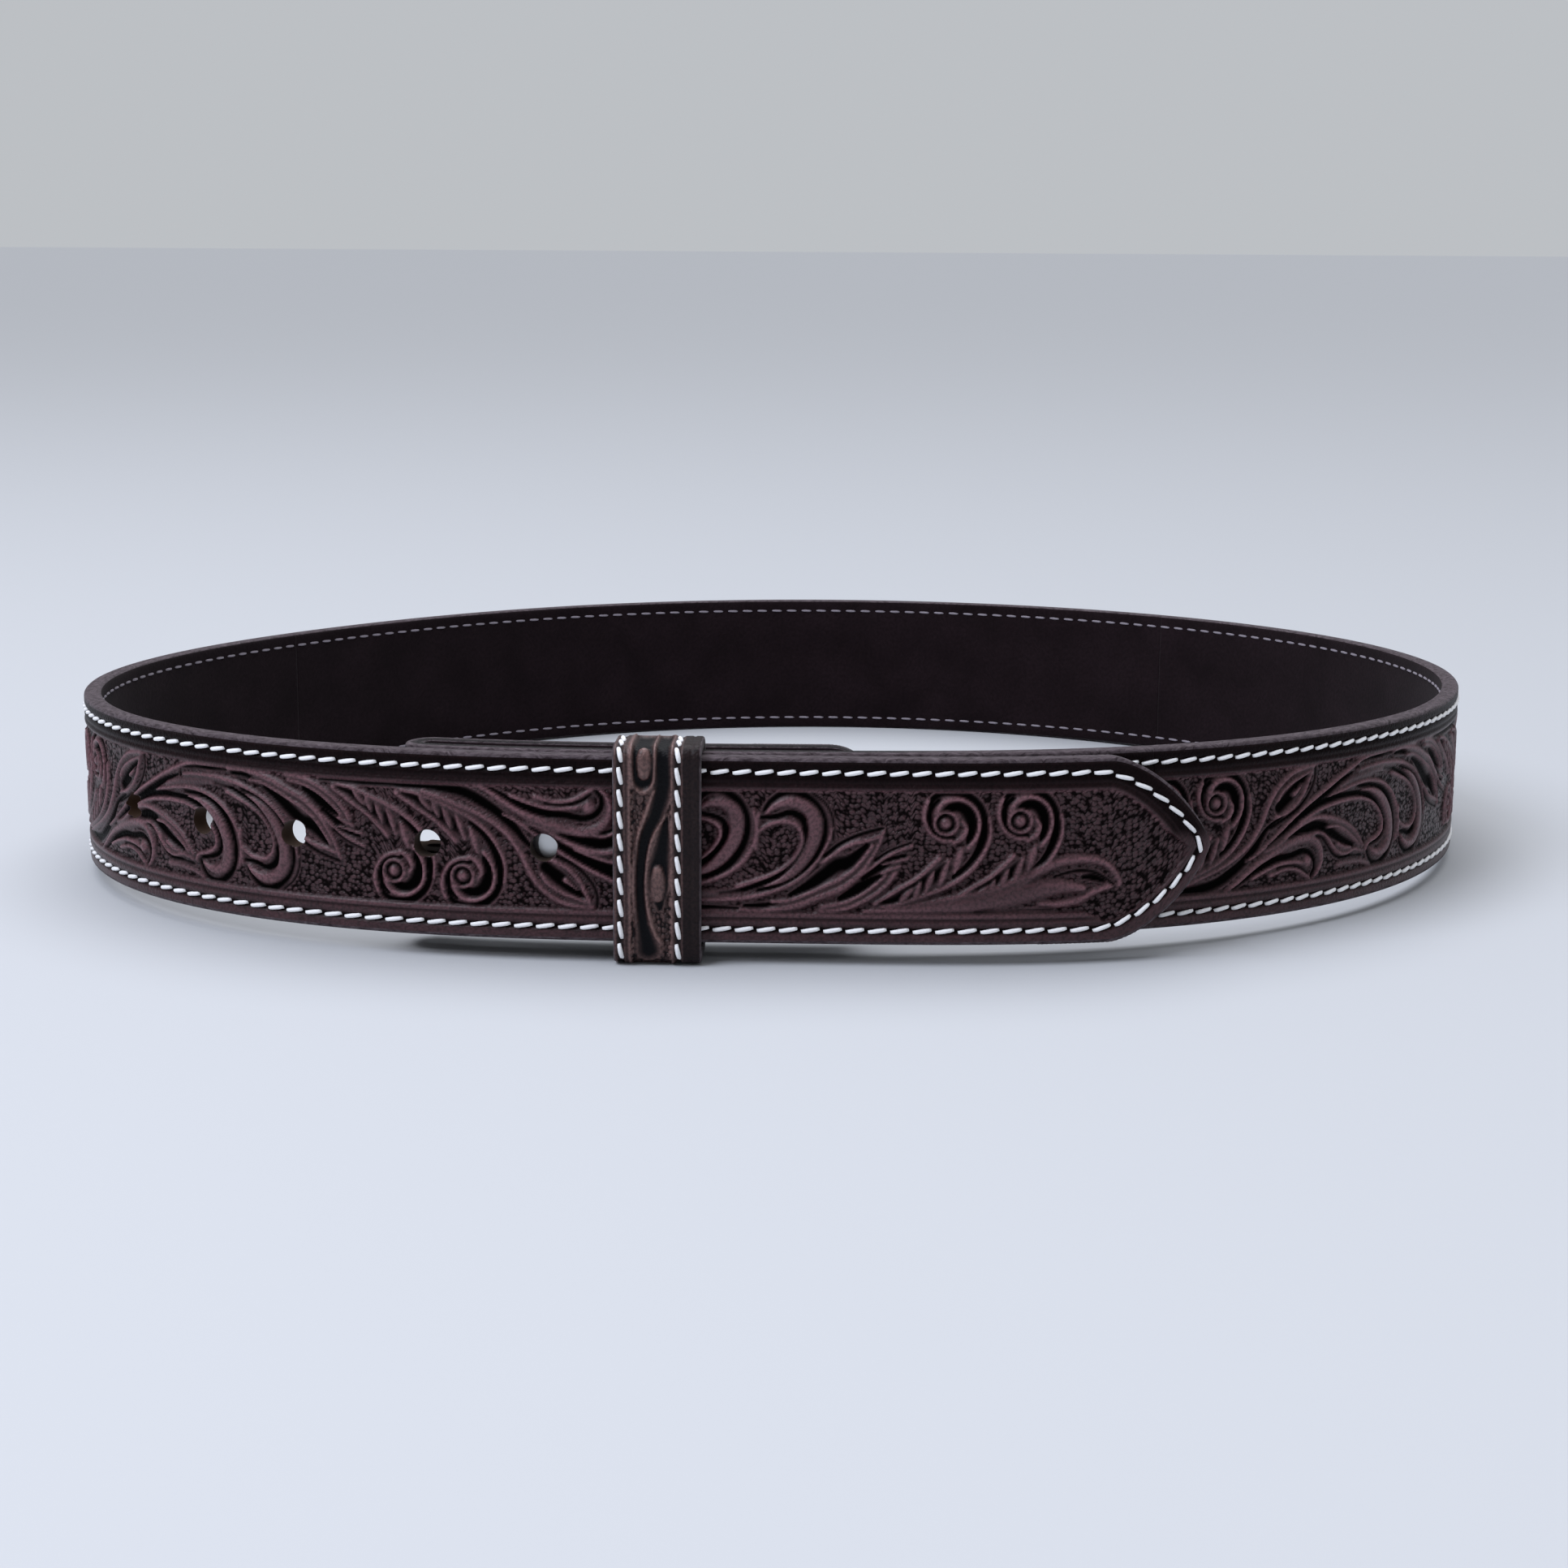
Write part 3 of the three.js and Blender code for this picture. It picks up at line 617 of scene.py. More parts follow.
def whole_motif(second_half):
    """The half motif, and another turned over, half a period on."""
    turned = [(kind, widths, [(x + HALF_PERIOD, STRAP_WIDTH - z) for x, z in route])
              for kind, widths, route in second_half]
    return HALF_MOTIF + turned


belt_tooling = Tooling(whole_motif(HALF_MOTIF), PERIOD, STRAP_WIDTH)

# The tongue, cut from the last repeat, ends in its own leaf
TONGUE_REPEAT = 4 * PERIOD
TONGUE_CHART = 270
LAST_HALF = [stroke for stroke in HALF_MOTIF if stroke not in TOP_STEM]
tip_tooling = Tooling(whole_motif(LAST_HALF) + TIP_LEAF, TONGUE_CHART, STRAP_WIDTH, False)

# Where marks of the pattern lie on the strap: place, then distance along the pattern
PATTERN_MARKS = [
    (-77.5, -14.45),
    (-62.5, 0.25),
    (165.4, 222.75),
    (RING_LENGTH - 75, 910.5),
    (RING_LENGTH - 46.7, 941.5),
    (RING_LENGTH - 33.2, 956.5),
    (RING_LENGTH - 4.7, 986.8),
    (RING_LENGTH + 9.6, 1001.5),
    (RING_LENGTH + 105.6, 1098.05),
    (RING_LENGTH + 120.2, 1112.75),
    (RING_LENGTH + 139.5, 1133.3),
]

# Border of the tooling, by distance from the edge of the strap: each line's place and width,
# what it does to the surface, and where the lower lines stop short of the tip
BORDER_RIDGE = {"line": (5.9, 0.9), "rise": 0.06, "crest": 0.25}
BORDER_CUTS = {"lines": [(5.1, 0.6), (6.7, 0.5)], "depth": 0.25, "dye": 0.75}
BORDER_LIP = {"line": (6.75, 0.8), "rise": 0.1, "crest": 0.6, "cleaned": 0.85}
BORDER_STOP = 27
# The upper channel's extra dye and the upper border's dye are painted shade, not paste
CHANNEL = {"start": 0.4, "end": 5.2, "fade": 0.7, "dye": 0.1, "upper_painted_shade": 0.8}
UPPER_BORDER_SHADE = {"end": 6.5, "fade": 0.8, "dye": 0.8}
GROOVE_DYE = 0.95
LOWER_HALF = {"end": MIDDLE + 4, "fade": 6}
UPPER_HALF = {"start": MIDDLE, "fade": 4}
BORDER_FADE = 6
TOOLED_FROM = 6.6
TIP_TOOLED_FROM = 4.3
TOOLED_FADE = 0.5
TOOLED_SINK = 0.15


def pattern_at(place):
    """Distance along the tooled pattern, which runs on evenly past its first and last marks."""
    places, pattern = np.array(PATTERN_MARKS).T
    found = np.interp(place, places, pattern)
    return found + np.minimum(place - places[0], 0) + np.maximum(place - places[-1], 0)


def chart_at(part, place, height):
    """One map of the tooling over the strap, from the tongue's own chart past the keeper."""
    pattern = pattern_at(place)
    usual = belt_tooling.at(part, pattern, height)
    own = tip_tooling.at(part, np.clip(pattern - TONGUE_REPEAT, 0, TONGUE_CHART - 1), height)
    return np.where(place > RING_LENGTH + KEEPER_PLACE, own, usual)


def worked_grain(place, height):
    """Rise over the leather's face, dye, crest and ground of the grain side. The dye carries painted
    shade on the upper border, and the crest carries painted highlight.
    """
    edge = edge_distance(place, height)
    below = smooth_step((LOWER_HALF["end"] - height) / LOWER_HALF["fade"])
    border = 1 - below * smooth_step((place - STRAP_END + BORDER_STOP) / BORDER_FADE)
    start = TIP_TOOLED_FROM + (TOOLED_FROM - TIP_TOOLED_FROM) * border
    tooled = np.clip((edge - start) / TOOLED_FADE + 0.5, 0, 1)
    rise, dye, crest, ground = (chart_at(part, place, height) * tooled for part in TOOLED_PARTS)
    rise -= TOOLED_SINK * tooled
    upper = smooth_step((height - UPPER_HALF["start"]) / UPPER_HALF["fade"])
    ridge = bump_over(edge, *BORDER_RIDGE["line"]) * border
    rise += BORDER_RIDGE["rise"] * ridge
    crest = np.maximum(crest, BORDER_RIDGE["crest"] * ridge * (1 - upper))
    for centre, width in BORDER_CUTS["lines"]:
        line = bump_over(edge, centre, width) * border
        rise -= BORDER_CUTS["depth"] * line
        dye = np.maximum(dye, BORDER_CUTS["dye"] * line)
    # Paste lies in both channels; the upper channel and the upper border are painted far darker, which
    # is painted shade on the strap's upper side
    channel = smooth_step((edge - CHANNEL["start"]) / CHANNEL["fade"])
    channel *= smooth_step((CHANNEL["end"] - edge) / CHANNEL["fade"])
    dye = np.maximum(dye, channel * (CHANNEL["dye"] + CHANNEL["upper_painted_shade"] * upper))
    outside = smooth_step((UPPER_BORDER_SHADE["end"] - edge) / UPPER_BORDER_SHADE["fade"])
    dye = np.maximum(dye, UPPER_BORDER_SHADE["dye"] * upper * outside)
    # A lip along the top of the tooling is raised, lightened and cleared of paste and painted shade: a
    # painted highlight along the tooling's top
    lip = bump_over(edge, *BORDER_LIP["line"]) * border * upper
    rise += BORDER_LIP["rise"] * lip
    crest = np.maximum(crest, BORDER_LIP["crest"] * lip)
    dye = dye * (1 - BORDER_LIP["cleaned"] * lip)
    groove = bump_over(stitch_distance(place, height, edge), 0, GROOVE_WIDTH)
    rise -= GROOVE_DEPTH * groove
    dye = np.maximum(dye, GROOVE_DYE * np.sqrt(groove))
    return edge, rise, dye, crest, ground


def bevel_drop(edge, bevel):
    """How far a rounded edge falls away below the face."""
    share = np.clip(1 - edge / bevel, 0, 1)
    return bevel * (1 - np.sqrt(1 - share ** 2))


# Mesh helpers

def mesh_of(shape, name):
    """Turns a finished bmesh into a mesh and frees it."""
    mesh = bpy.data.meshes.new(name)
    shape.to_mesh(mesh)
    shape.free()
    return mesh


def rolled_sheet(name, columns, rows):
    """A flat grid of quads to be rolled into a tube: its mesh, and each corner's column and row."""
    sheet = bmesh.new()
    bmesh.ops.create_grid(sheet, x_segments=columns - 1, y_segments=rows - 1, size=1)
    mesh = mesh_of(sheet, name)
    flat = np.empty(len(mesh.vertices) * 3)
    mesh.vertices.foreach_get("co", flat)
    flat = flat.reshape(-1, 3)
    column = np.rint((flat[:, 0] + 1) / 2 * (columns - 1)).astype(int)
    row = np.rint((flat[:, 1] + 1) / 2 * (rows - 1)).astype(int)
    return mesh, column, row


def write_points(mesh, points):
    mesh.vertices.foreach_set("co", np.ascontiguousarray(points, np.float32).ravel())


def write_layers(mesh, layers):
    """Numbers for each point that the materials read, by name."""
    for name, values in layers.items():
        spots = mesh.attributes.new(name, "FLOAT", "POINT")
        spots.data.foreach_set("value", np.ascontiguousarray(values, np.float32))


def loop_corners(mesh):
    corners = np.empty(len(mesh.loops), np.int32)
    mesh.loops.foreach_get("vertex_index", corners)
    return corners


def write_uv(mesh, lengthwise, around):
    """Lays the map out in metres over the surface, so that patterns keep their real size."""
    corners = loop_corners(mesh)
    flat = np.stack([lengthwise[corners], around[corners]], 1) * MM
    mesh.uv_layers.new(name="surface").uv.foreach_set("vector", flat.astype(np.float32).ravel())


def write_sides(mesh, row, sides):
    """Gives each strip of a sheet's faces the side of the row that it starts from."""
    first_row = row[loop_corners(mesh)].reshape(-1, 4).min(1)
    mesh.polygons.foreach_set("material_index", sides[first_row].astype(np.int32))


def shade_smooth(mesh):
    mesh.polygons.foreach_set("use_smooth", np.ones(len(mesh.polygons), bool))


def finished(name, mesh, materials):
    """The object of a mesh, in the scene, with its materials in the order of their slots."""
    piece = bpy.data.objects.new(name, mesh)
    bpy.context.scene.collection.objects.link(piece)
    for material in materials:
        mesh.materials.append(material)
    return piece


def close_tube(mesh, doubles, end_material):
    """Joins the long sides of a rolled sheet, fills its ends and faces it outwards."""
    tube = bmesh.new()
    tube.from_mesh(mesh)
    tube.verts.ensure_lookup_table()
    bmesh.ops.remove_doubles(tube, verts=[tube.verts[i] for i in doubles], dist=1e-7)
    rims = [edge for edge in tube.edges if edge.is_boundary]
    if rims:
        for cap in bmesh.ops.holes_fill(tube, edges=rims, sides=0)["faces"]:
            cap.material_index = end_material
            cap.smooth = False
    bmesh.ops.recalc_face_normals(tube, faces=tube.faces)
    if tube.calc_volume(signed=True) < 0:
        bmesh.ops.reverse_faces(tube, faces=tube.faces)
    tube.to_mesh(mesh)
    tube.free()


def facing_out(outward, point, height=MIDDLE):
    """Matrix that stands what was made along Z on the level belt, with its Z outwards."""
    up, outward = Vector((0, 0, 1)), Vector((*outward, 0))
    turn = Matrix((up.cross(outward), up, outward)).transposed().to_4x4()
    turn.translation = (*point, height)
    return turn


def punched(piece, cutter):
    """Cuts the cutter out of a piece. The cut walls take the cutter's own material."""
    cut = piece.modifiers.new("punch", "BOOLEAN")
    cut.operation = "DIFFERENCE"
    cut.solver = "MANIFOLD"
    cut.object = cutter
    shaped = piece.evaluated_get(bpy.context.evaluated_depsgraph_get())
    mesh = bpy.data.meshes.new_from_object(shaped)
    piece.modifiers.clear()
    piece.data = mesh
    cutter_mesh = cutter.data
    bpy.data.objects.remove(cutter)
    bpy.data.meshes.remove(cutter_mesh)


# Materials

def linear(hex_colour):
    """sRGB hex to the linear colour a shader wants."""
    parts = [int(hex_colour[i:i + 2], 16) / 255 for i in (1, 3, 5)]
    return tuple(c / 12.92 if c <= 0.04045 else ((c + 0.055) / 1.055) ** 2.4 for c in parts) + (1,)


def every(size):
    """Scale of a pattern whose cells are so many real millimetres apart."""
    return 1 / (size * MM)


def wire(made, inputs):
    """Sets a node's inputs, each to a plain value or to the output that feeds it."""
    for name, value in inputs.items():
        if isinstance(value, bpy.types.NodeSocket):
            made.id_data.links.new(value, made.inputs[name])
        else:
            made.inputs[name].default_value = value


def node(tree, kind, inputs, output=0, **settings):
    """Adds a node with its settings and links, and returns one of its outputs."""
    made = tree.nodes.new("ShaderNode" + kind)
    for name, value in settings.items():
        setattr(made, name, value)
    wire(made, inputs)
    return made.outputs[output]


def shader(name):
    """A new material, with its tree and its surface."""
    material = bpy.data.materials.new(name)
    material.use_nodes = True
    return material, material.node_tree, material.node_tree.nodes["Principled BSDF"]


def tooled_leather(name, plain, dyed, rubbed_highlight, roughness, coat, paste_gloss):
    """Vegetable-tanned cowhide, carved and stamped, then dyed and antiqued: dark paste stays in the
    cuts and the pebbled ground, while the ridges are lighter from rubbing, and shinier. The lighter
    ridges are partly painted highlight, and the paste's colour also paints shade on the upper border."""
    material, tree, surface = shader(name)
    spread = node(tree, "TexCoord", {}, "UV")
    ground, dye, crest = (node(tree, "Attribute", {}, "Fac", attribute_name=part)
                          for part in ("ground", "dye", "crest"))
    # Stamped pebbles 1.05 by 0.84 mm, and pores that break the gloss, drawn 0.7 mm apart so that
    # they show
    drawn = node(tree, "Mapping", {"Vector": spread, "Scale": (0.8, 1.0, 1.0)})
    pebbles = node(tree, "TexVoronoi", {"Vector": drawn, "Scale": every(0.84),
                                        "Randomness": 0.72})
    cups = node(tree, "MapRange", {"Value": pebbles, "From Min": 0.41, "From Max": 0.71})
    pores = node(tree, "TexNoise", {"Vector": spread, "Scale": every(0.7), "Detail": 4})
    scuffs = node(tree, "MapRange", {"Value": pores, "From Min": 0.42, "From Max": 0.64,
                                     "To Max": 0.5})
    clouds = node(tree, "TexNoise", {"Vector": spread, "Scale": every(9), "Detail": 3})
    patchy = node(tree, "MapRange", {"Value": clouds, "From Min": 0.35, "From Max": 0.65})
    stamped = node(tree, "Math", {0: cups, 1: ground}, operation="MULTIPLY")
    pasted = node(tree, "Math", {0: stamped, 1: 0.95}, operation="MULTIPLY")
    paste_and_shade = node(tree, "Math", {0: pasted, 1: dye}, operation="MAXIMUM")
    hide = linear(plain[0])
    for share, colour in ((patchy, plain[1]), (crest, rubbed_highlight), (scuffs, dyed), (paste_and_shade, dyed)):
        hide = node(tree, "Mix", {0: share, 6: hide, 7: linear(colour)}, 2, data_type="RGBA")
    height = node(tree, "Math", {0: stamped, 1: -1.6, 2: pores}, operation="MULTIPLY_ADD")
    wire(surface, {
        "Base Color": hide, "Roughness": roughness, "IOR": 1.45, "Coat Roughness": 0.35,
        "Specular IOR Level": node(tree, "MapRange", {"Value": paste_and_shade, "To Min": 0.3,
                                                      "To Max": paste_gloss}),
        "Coat Weight": node(tree, "MapRange", {"Value": paste_and_shade, "To Min": coat, "To Max": 0}),
        "Normal": node(tree, "Bump", {"Height": height, "Distance": 0.25 * MM, "Strength": 0.9}),
    })
    return material


def brushed_flesh(name, dark, light):
    """The flesh side of the hide, dyed through and brushed: a matt, short nap that shows as
    fine mottling with no shine."""
    material, tree, surface = shader(name)
    spread = node(tree, "TexCoord", {}, "UV")
    nap = node(tree, "TexNoise", {"Vector": spread, "Scale": every(0.9), "Detail": 5})
    smudge = node(tree, "TexNoise", {"Vector": spread, "Scale": every(14), "Detail": 3})
    both = node(tree, "Math", {0: nap, 1: smudge}, operation="MULTIPLY")
    share = node(tree, "MapRange", {"Value": both, "From Min": 0.12, "From Max": 0.4})
    wire(surface, {
        "Base Color": node(tree, "Mix", {0: share, 6: linear(dark), 7: linear(light)}, 2,
                           data_type="RGBA"),
        "Roughness": 0.95, "IOR": 1.4, "Specular IOR Level": 0.05, "Sheen Weight": 0.04,
        "Sheen Roughness": 0.6,
        "Normal": node(tree, "Bump", {"Height": nap, "Distance": 0.2 * MM, "Strength": 0.6}),
    })
    return material


def cut_leather(name, dark, light, shaded_core):
    """The cut edge of the hide, bevelled and left without gloss: fibres show as streaks along the
    edge, paler than the dyed face. Where it is left raw its core is frayed, and painted dark in frayed
    patches as painted shade of the gap between the folded layers."""
    material, tree, surface = shader(name)
    spread = node(tree, "TexCoord", {}, "UV")
    # Fibres 0.8 mm apart and drawn out along the edge, and frayed tufts 0.6 mm apart
    drawn = node(tree, "Mapping", {"Vector": spread, "Scale": (0.35, 1.0, 1.0)})
    fibres = node(tree, "TexNoise", {"Vector": drawn, "Scale": every(0.8), "Detail": 5,
                                     "Roughness": 0.65})
    tufts = node(tree, "TexNoise", {"Vector": spread, "Scale": every(0.6), "Detail": 4,
                                    "Roughness": 0.7})
    frayed = node(tree, "MapRange", {"Value": tufts, "From Min": 0.3, "From Max": 0.48})
    # Where the edge is raw, its frayed tufts take the near-black core colour: painted shade of the gap
    # between the folded layers
    raw = node(tree, "Attribute", {}, "Fac", attribute_name="raw")
    shaded_fray = node(tree, "Math", {0: frayed, 1: raw}, operation="MULTIPLY")
    streaks = node(tree, "MapRange", {"Value": fibres, "From Min": 0.35, "From Max": 0.65})
    hide = linear(dark)
    for share, colour in ((streaks, light), (shaded_fray, shaded_core)):
        hide = node(tree, "Mix", {0: share, 6: hide, 7: linear(colour)}, 2, data_type="RGBA")
    wire(surface, {
        "Base Color": hide, "Roughness": 0.85, "IOR": 1.4, "Specular IOR Level": 0.1,
        "Sheen Weight": 0.1,
        "Normal": node(tree, "Bump", {"Height": fibres, "Distance": 0.3 * MM, "Strength": 0.8}),
    })
    return material


def grained(name, colour, grain, look):
    """A plain material whose surface is broken by a fine grain."""
    material, tree, surface = shader(name)
    spread = node(tree, "TexCoord", {}, "Object")
    specks = node(tree, "TexNoise", {"Vector": spread, "Scale": every(grain["size"]),
                                     "Detail": grain["detail"]})
    bumps = node(tree, "Bump", {"Height": specks, **grain["bump"]})
    wire(surface, {"Base Color": linear(colour), "Normal": bumps, **look})
    return material


# Cowhide: plain hide in two tones, the paste's colour (also painted shade), lightened ridges (rubbing
# and painted highlight), roughness, coat, paste's gloss
STRAP_GRAIN = tooled_leather("Tooled_cowhide", ("#3f262b", "#4b2f34"), "#030202", "#835b63",
                             0.4, 0.2, 0.015)
KEEPER_GRAIN = tooled_leather("Keeper_cowhide", ("#503938", "#604643"), "#08080c", "#826460",
                              0.38, 0.2, 0.12)
FLESH_SIDE = brushed_flesh("Brushed_flesh_side", "#150d10", "#21171b")
# The punched walls are cut leather in a browner tone, painted darker than the cut edge as painted
# shade inside the holes
CUT_EDGE = cut_leather("Cut_edge", "#2b2226", "#5f555a", "#0b0708")
SHADED_PUNCHED_WALL = cut_leather("Punched_wall_painted_shade", "#1c110c", "#442e1d", "#120c0d")

# Waxed polyester thread: two plies laid round each other, softly shining
THREAD_GRAIN = {"size": 0.4, "detail": 2, "bump": {"Distance": 0.1 * MM, "Strength": 0.5}}
THREAD_LOOK = {"Roughness": 0.55, "IOR": 1.5, "Sheen Weight": 0.15}
OUTER_THREAD = grained("White_waxed_thread", "#fafafc", THREAD_GRAIN, THREAD_LOOK)
INNER_THREAD = grained("Bobbin_thread", "#8f8791", THREAD_GRAIN, THREAD_LOOK)

# Nickel-plated steel, turned and lightly tumbled: a soft satin shine. The well is painted dark olive,
# which is painted shade in its recess over a brass tone
PLATING_GRAIN = {"size": 0.5, "detail": 3, "bump": {"Distance": 0.02 * MM, "Strength": 0.3}}
STEEL = grained("Satin_nickel", "#c3c4c6", PLATING_GRAIN, {"Metallic": 1.0, "Roughness": 0.32})
SHADED_WELL = grained("Well_painted_shade", "#57503c", PLATING_GRAIN,
                    {"Metallic": 1.0, "Roughness": 0.45})

GRAIN, EDGE, FLESH = 0, 1, 2
STRAP_MATERIALS = (STRAP_GRAIN, CUT_EDGE, FLESH_SIDE, SHADED_PUNCHED_WALL)


# Strap

# Rows of each side near an edge, as distances from it, fine where lines run
EDGE_ROWS = [0, 0.12, 0.3, 0.5, 0.75, 1.3, 1.9, 2.2, 2.45, 2.7, 2.95, 3.2, 3.45, 3.75, 4.3,
             4.6, 4.9, 5.25, 5.55, 5.85, 6.15, 6.5]
FLESH_ROWS = [0, 0.25, 0.7, 2.3, 2.95, 3.6, 10]
BAND_ROWS = 68
WALL_ROWS = 4
BEVEL_ROWS = 4

# Where the sides of the section end, counted in rows round it
GRAIN_END = 2 * len(EDGE_ROWS) + BAND_ROWS
TOP_WALL_END = GRAIN_END + WALL_ROWS
FLESH_END = TOP_WALL_END + 2 * len(FLESH_ROWS) + 1
LAST_ROW = FLESH_END + WALL_ROWS
STRAP_SIDES = np.full(LAST_ROW + 1, EDGE)
STRAP_SIDES[BEVEL_ROWS:GRAIN_END - 1 - BEVEL_ROWS] = GRAIN
STRAP_SIDES[TOP_WALL_END + 1:FLESH_END - 2] = FLESH

# The edges of the folded end, up to this place, are left raw, with painted shade on their cores
RAW_EDGE_END = 95
RAW_EDGE_FADE = 15
RAW_CORE_SHADE = {"start": 0.15, "fade": 0.35}


def rows_across(half, edge_rows, between):
    """Heights of the rows across the strap, for each of its half widths: set distances from
    both edges, drawn closer where it is narrow, with others spread evenly between them."""
    shrink = np.minimum(1, half / (edge_rows[-1] + 1))[:, None]
    low = (MIDDLE - half)[:, None] + np.array(edge_rows)[None, :] * shrink
    share = np.linspace(0, 1, between + 2)[1:-1][None, :]
    inner = low[:, -1:] + (STRAP_WIDTH - 2 * low[:, -1:]) * share
    return np.hstack([low, inner, STRAP_WIDTH - low[:, ::-1]])


def strap_section(places):
    """Height, distance across and layers of every row at every place, round the section:
    the grain side upwards, the top edge, the flesh side downwards and the bottom edge."""
    half = half_width(places)
    grain = rows_across(half, EDGE_ROWS, BAND_ROWS)
    flesh = rows_across(half, FLESH_ROWS, 1)[:, ::-1]
    edge, rise, dye, crest, ground = (part.reshape(grain.shape) for part in worked_grain(
        np.repeat(places, grain.shape[1]), grain.ravel()))
    flesh_edge = edge_distance(np.repeat(places, flesh.shape[1]), flesh.ravel())
    flesh_edge = flesh_edge.reshape(flesh.shape)
    front = FACE - bevel_drop(edge, EDGE_BEVEL) + rise
    back = bevel_drop(flesh_edge, EDGE_BEVEL) - FACE
    back += FLESH_GROOVE_DEPTH * bump_over(flesh_edge, STITCH_INSET, FLESH_GROOVE_WIDTH)
    share = np.linspace(0, 1, WALL_ROWS + 2)[1:-1][None, :]
    top_wall = front[:, -1:] * (1 - share) + back[:, :1] * share
    low_wall = back[:, -1:] * (1 - share) + front[:, :1] * share
    height = np.hstack([grain, np.repeat(grain[:, -1:], WALL_ROWS, 1), flesh,
                        np.repeat(grain[:, :1], WALL_ROWS + 1, 1)])
    across = np.hstack([front, top_wall, back, low_wall, front[:, :1]])
    blank = np.zeros((len(places), height.shape[1] - GRAIN_END))
    layers = {"dye": np.hstack([dye, blank]), "crest": np.hstack([crest, blank]),
              "ground": np.hstack([ground, blank]), "raw": np.zeros(height.shape)}
    frayed = (1 - smooth_step((places - RAW_EDGE_END) / RAW_EDGE_FADE))[:, None]
    inward = smooth_step((share - RAW_CORE_SHADE["start"]) / RAW_CORE_SHADE["fade"])
    layers["raw"][:, GRAIN_END:TOP_WALL_END + 1] = frayed * np.c_[inward, 1]
    layers["raw"][:, FLESH_END - 1:LAST_ROW] = frayed * np.c_[1, inward[:, ::-1]]
    for values in layers.values():
        values[:, -1] = values[:, 0]
    return height, across, layers


def strap_piece(name, start, end, step):
    """A stretch of the strap, closed at both ends."""
    places = eased_ends(start, end, step)
    height, across, layers = strap_section(places)
    mesh, column, row = rolled_sheet(name, *height.shape)
    level = level_strap(places[column], height[column, row], across[column, row])
    write_points(mesh, stand(level))
    around = np.cumsum(np.hypot(np.diff(height, axis=1, prepend=height[:, :1]),
                                np.diff(across, axis=1, prepend=across[:, :1])), 1)
    write_uv(mesh, places[column], around[column, row])
    write_layers(mesh, {part: values[column, row] for part, values in layers.items()})
    write_sides(mesh, row, STRAP_SIDES)
    shade_smooth(mesh)
    close_tube(mesh, np.flatnonzero((row == 0) | (row == LAST_ROW)), EDGE)
    return finished(name, mesh, STRAP_MATERIALS)


def punch_at(cutter, place, diameter, inner=-LEATHER, outer=LEATHER):
    """Adds a round punch through the middle of the leather to a cutter."""
    line, faces = strap_line(np.array([place]))
    before = len(cutter.verts)
    bmesh.ops.create_cone(cutter, cap_ends=True, segments=40, radius1=diameter / 2,
                          radius2=diameter / 2, depth=outer - inner)
    cutter.verts.ensure_lookup_table()
    turn = facing_out(faces[0], line[0] + faces[0] * (inner + outer) / 2)
    bmesh.ops.transform(cutter, matrix=turn, verts=cutter.verts[before:])


def cutter_object(cutter):
    """A cutter stood in the frame, with the punched walls' material, cut leather in painted shade, for
    the walls it leaves.
    """
    for vert in cutter.verts:
        vert.co = Vector(stand(np.array(vert.co)))
    bmesh.ops.recalc_face_normals(cutter, faces=cutter.faces)
    return finished("cutter", mesh_of(cutter, "cutter"), (SHADED_PUNCHED_WALL,))


def fold_cutter():
    """The slot through the fold, and the snaps' holes through both layers behind it."""
    cutter = bmesh.new()
    fold_point, fold_normal = (part[0] for part in ring_at(np.zeros(1)))
    straight_end = SLOT_REACH - SLOT_WIDTH / 2
    bmesh.ops.create_circle(cutter, cap_ends=True, segments=40, radius=SLOT_WIDTH / 2)
    stretched = Matrix.Translation((straight_end, 0, 0))
    bmesh.ops.transform(cutter, matrix=stretched, verts=cutter.verts)
    for vert in cutter.verts:
        if vert.co.x < straight_end - 0.01:
            vert.co.x = -FOLD_RADIUS - LEATHER
            vert.co.y = math.copysign(SLOT_WIDTH / 2, vert.co.y) if abs(vert.co.y) > 0.01 else 0
    bmesh.ops.remove_doubles(cutter, verts=cutter.verts, dist=0.01)
    inner, outer = FOLD_BACK_OFFSET - LEATHER, -TONGUE_GAP / 4
    walls = bmesh.ops.extrude_face_region(cutter, geom=list(cutter.faces))
    raised = [part for part in walls["geom"] if isinstance(part, bmesh.types.BMVert)]
    bmesh.ops.translate(cutter, vec=(0, 0, outer - inner), verts=raised)
    turn = facing_out(fold_normal, fold_point + fold_normal * inner)
    bmesh.ops.transform(cutter, matrix=turn, verts=cutter.verts)
    for distance in SNAP_PLACES:
        punch_at(cutter, -FOLD_ARC - distance, SNAP_HOLE)
        punch_at(cutter, distance, SNAP_HOLE * 0.55, outer=LEATHER * 0.7)
    return cutter_object(cutter)


def hole_cutter(low, high):
    """Buckle holes that lie between two places."""
    cutter = bmesh.new()
    for share in HOLES_FROM_TIP:
        place = STRAP_END - share * TONGUE_LENGTH
        if low < place < high:
            punch_at(cutter, place, HOLE_DIAMETER)
    return cutter_object(cutter)


# The strap is drawn in sheets that meet, with the last seam under the keeper
SEAM_UNDER_KEEPER = RING_LENGTH + KEEPER_PLACE
STRAP_PIECES = [
    {"name": "strap_fold", "start": STRAP_START, "end": 150, "step": 0.38},
    {"name": "strap_right", "start": 150, "end": 425, "step": 0.42},
    {"name": "strap_back", "start": 425, "end": 700, "step": 0.42},
    {"name": "strap_left", "start": 700, "end": SEAM_UNDER_KEEPER, "step": 0.38},
    {"name": "strap_tongue", "start": SEAM_UNDER_KEEPER, "end": STRAP_END, "step": 0.34},
]


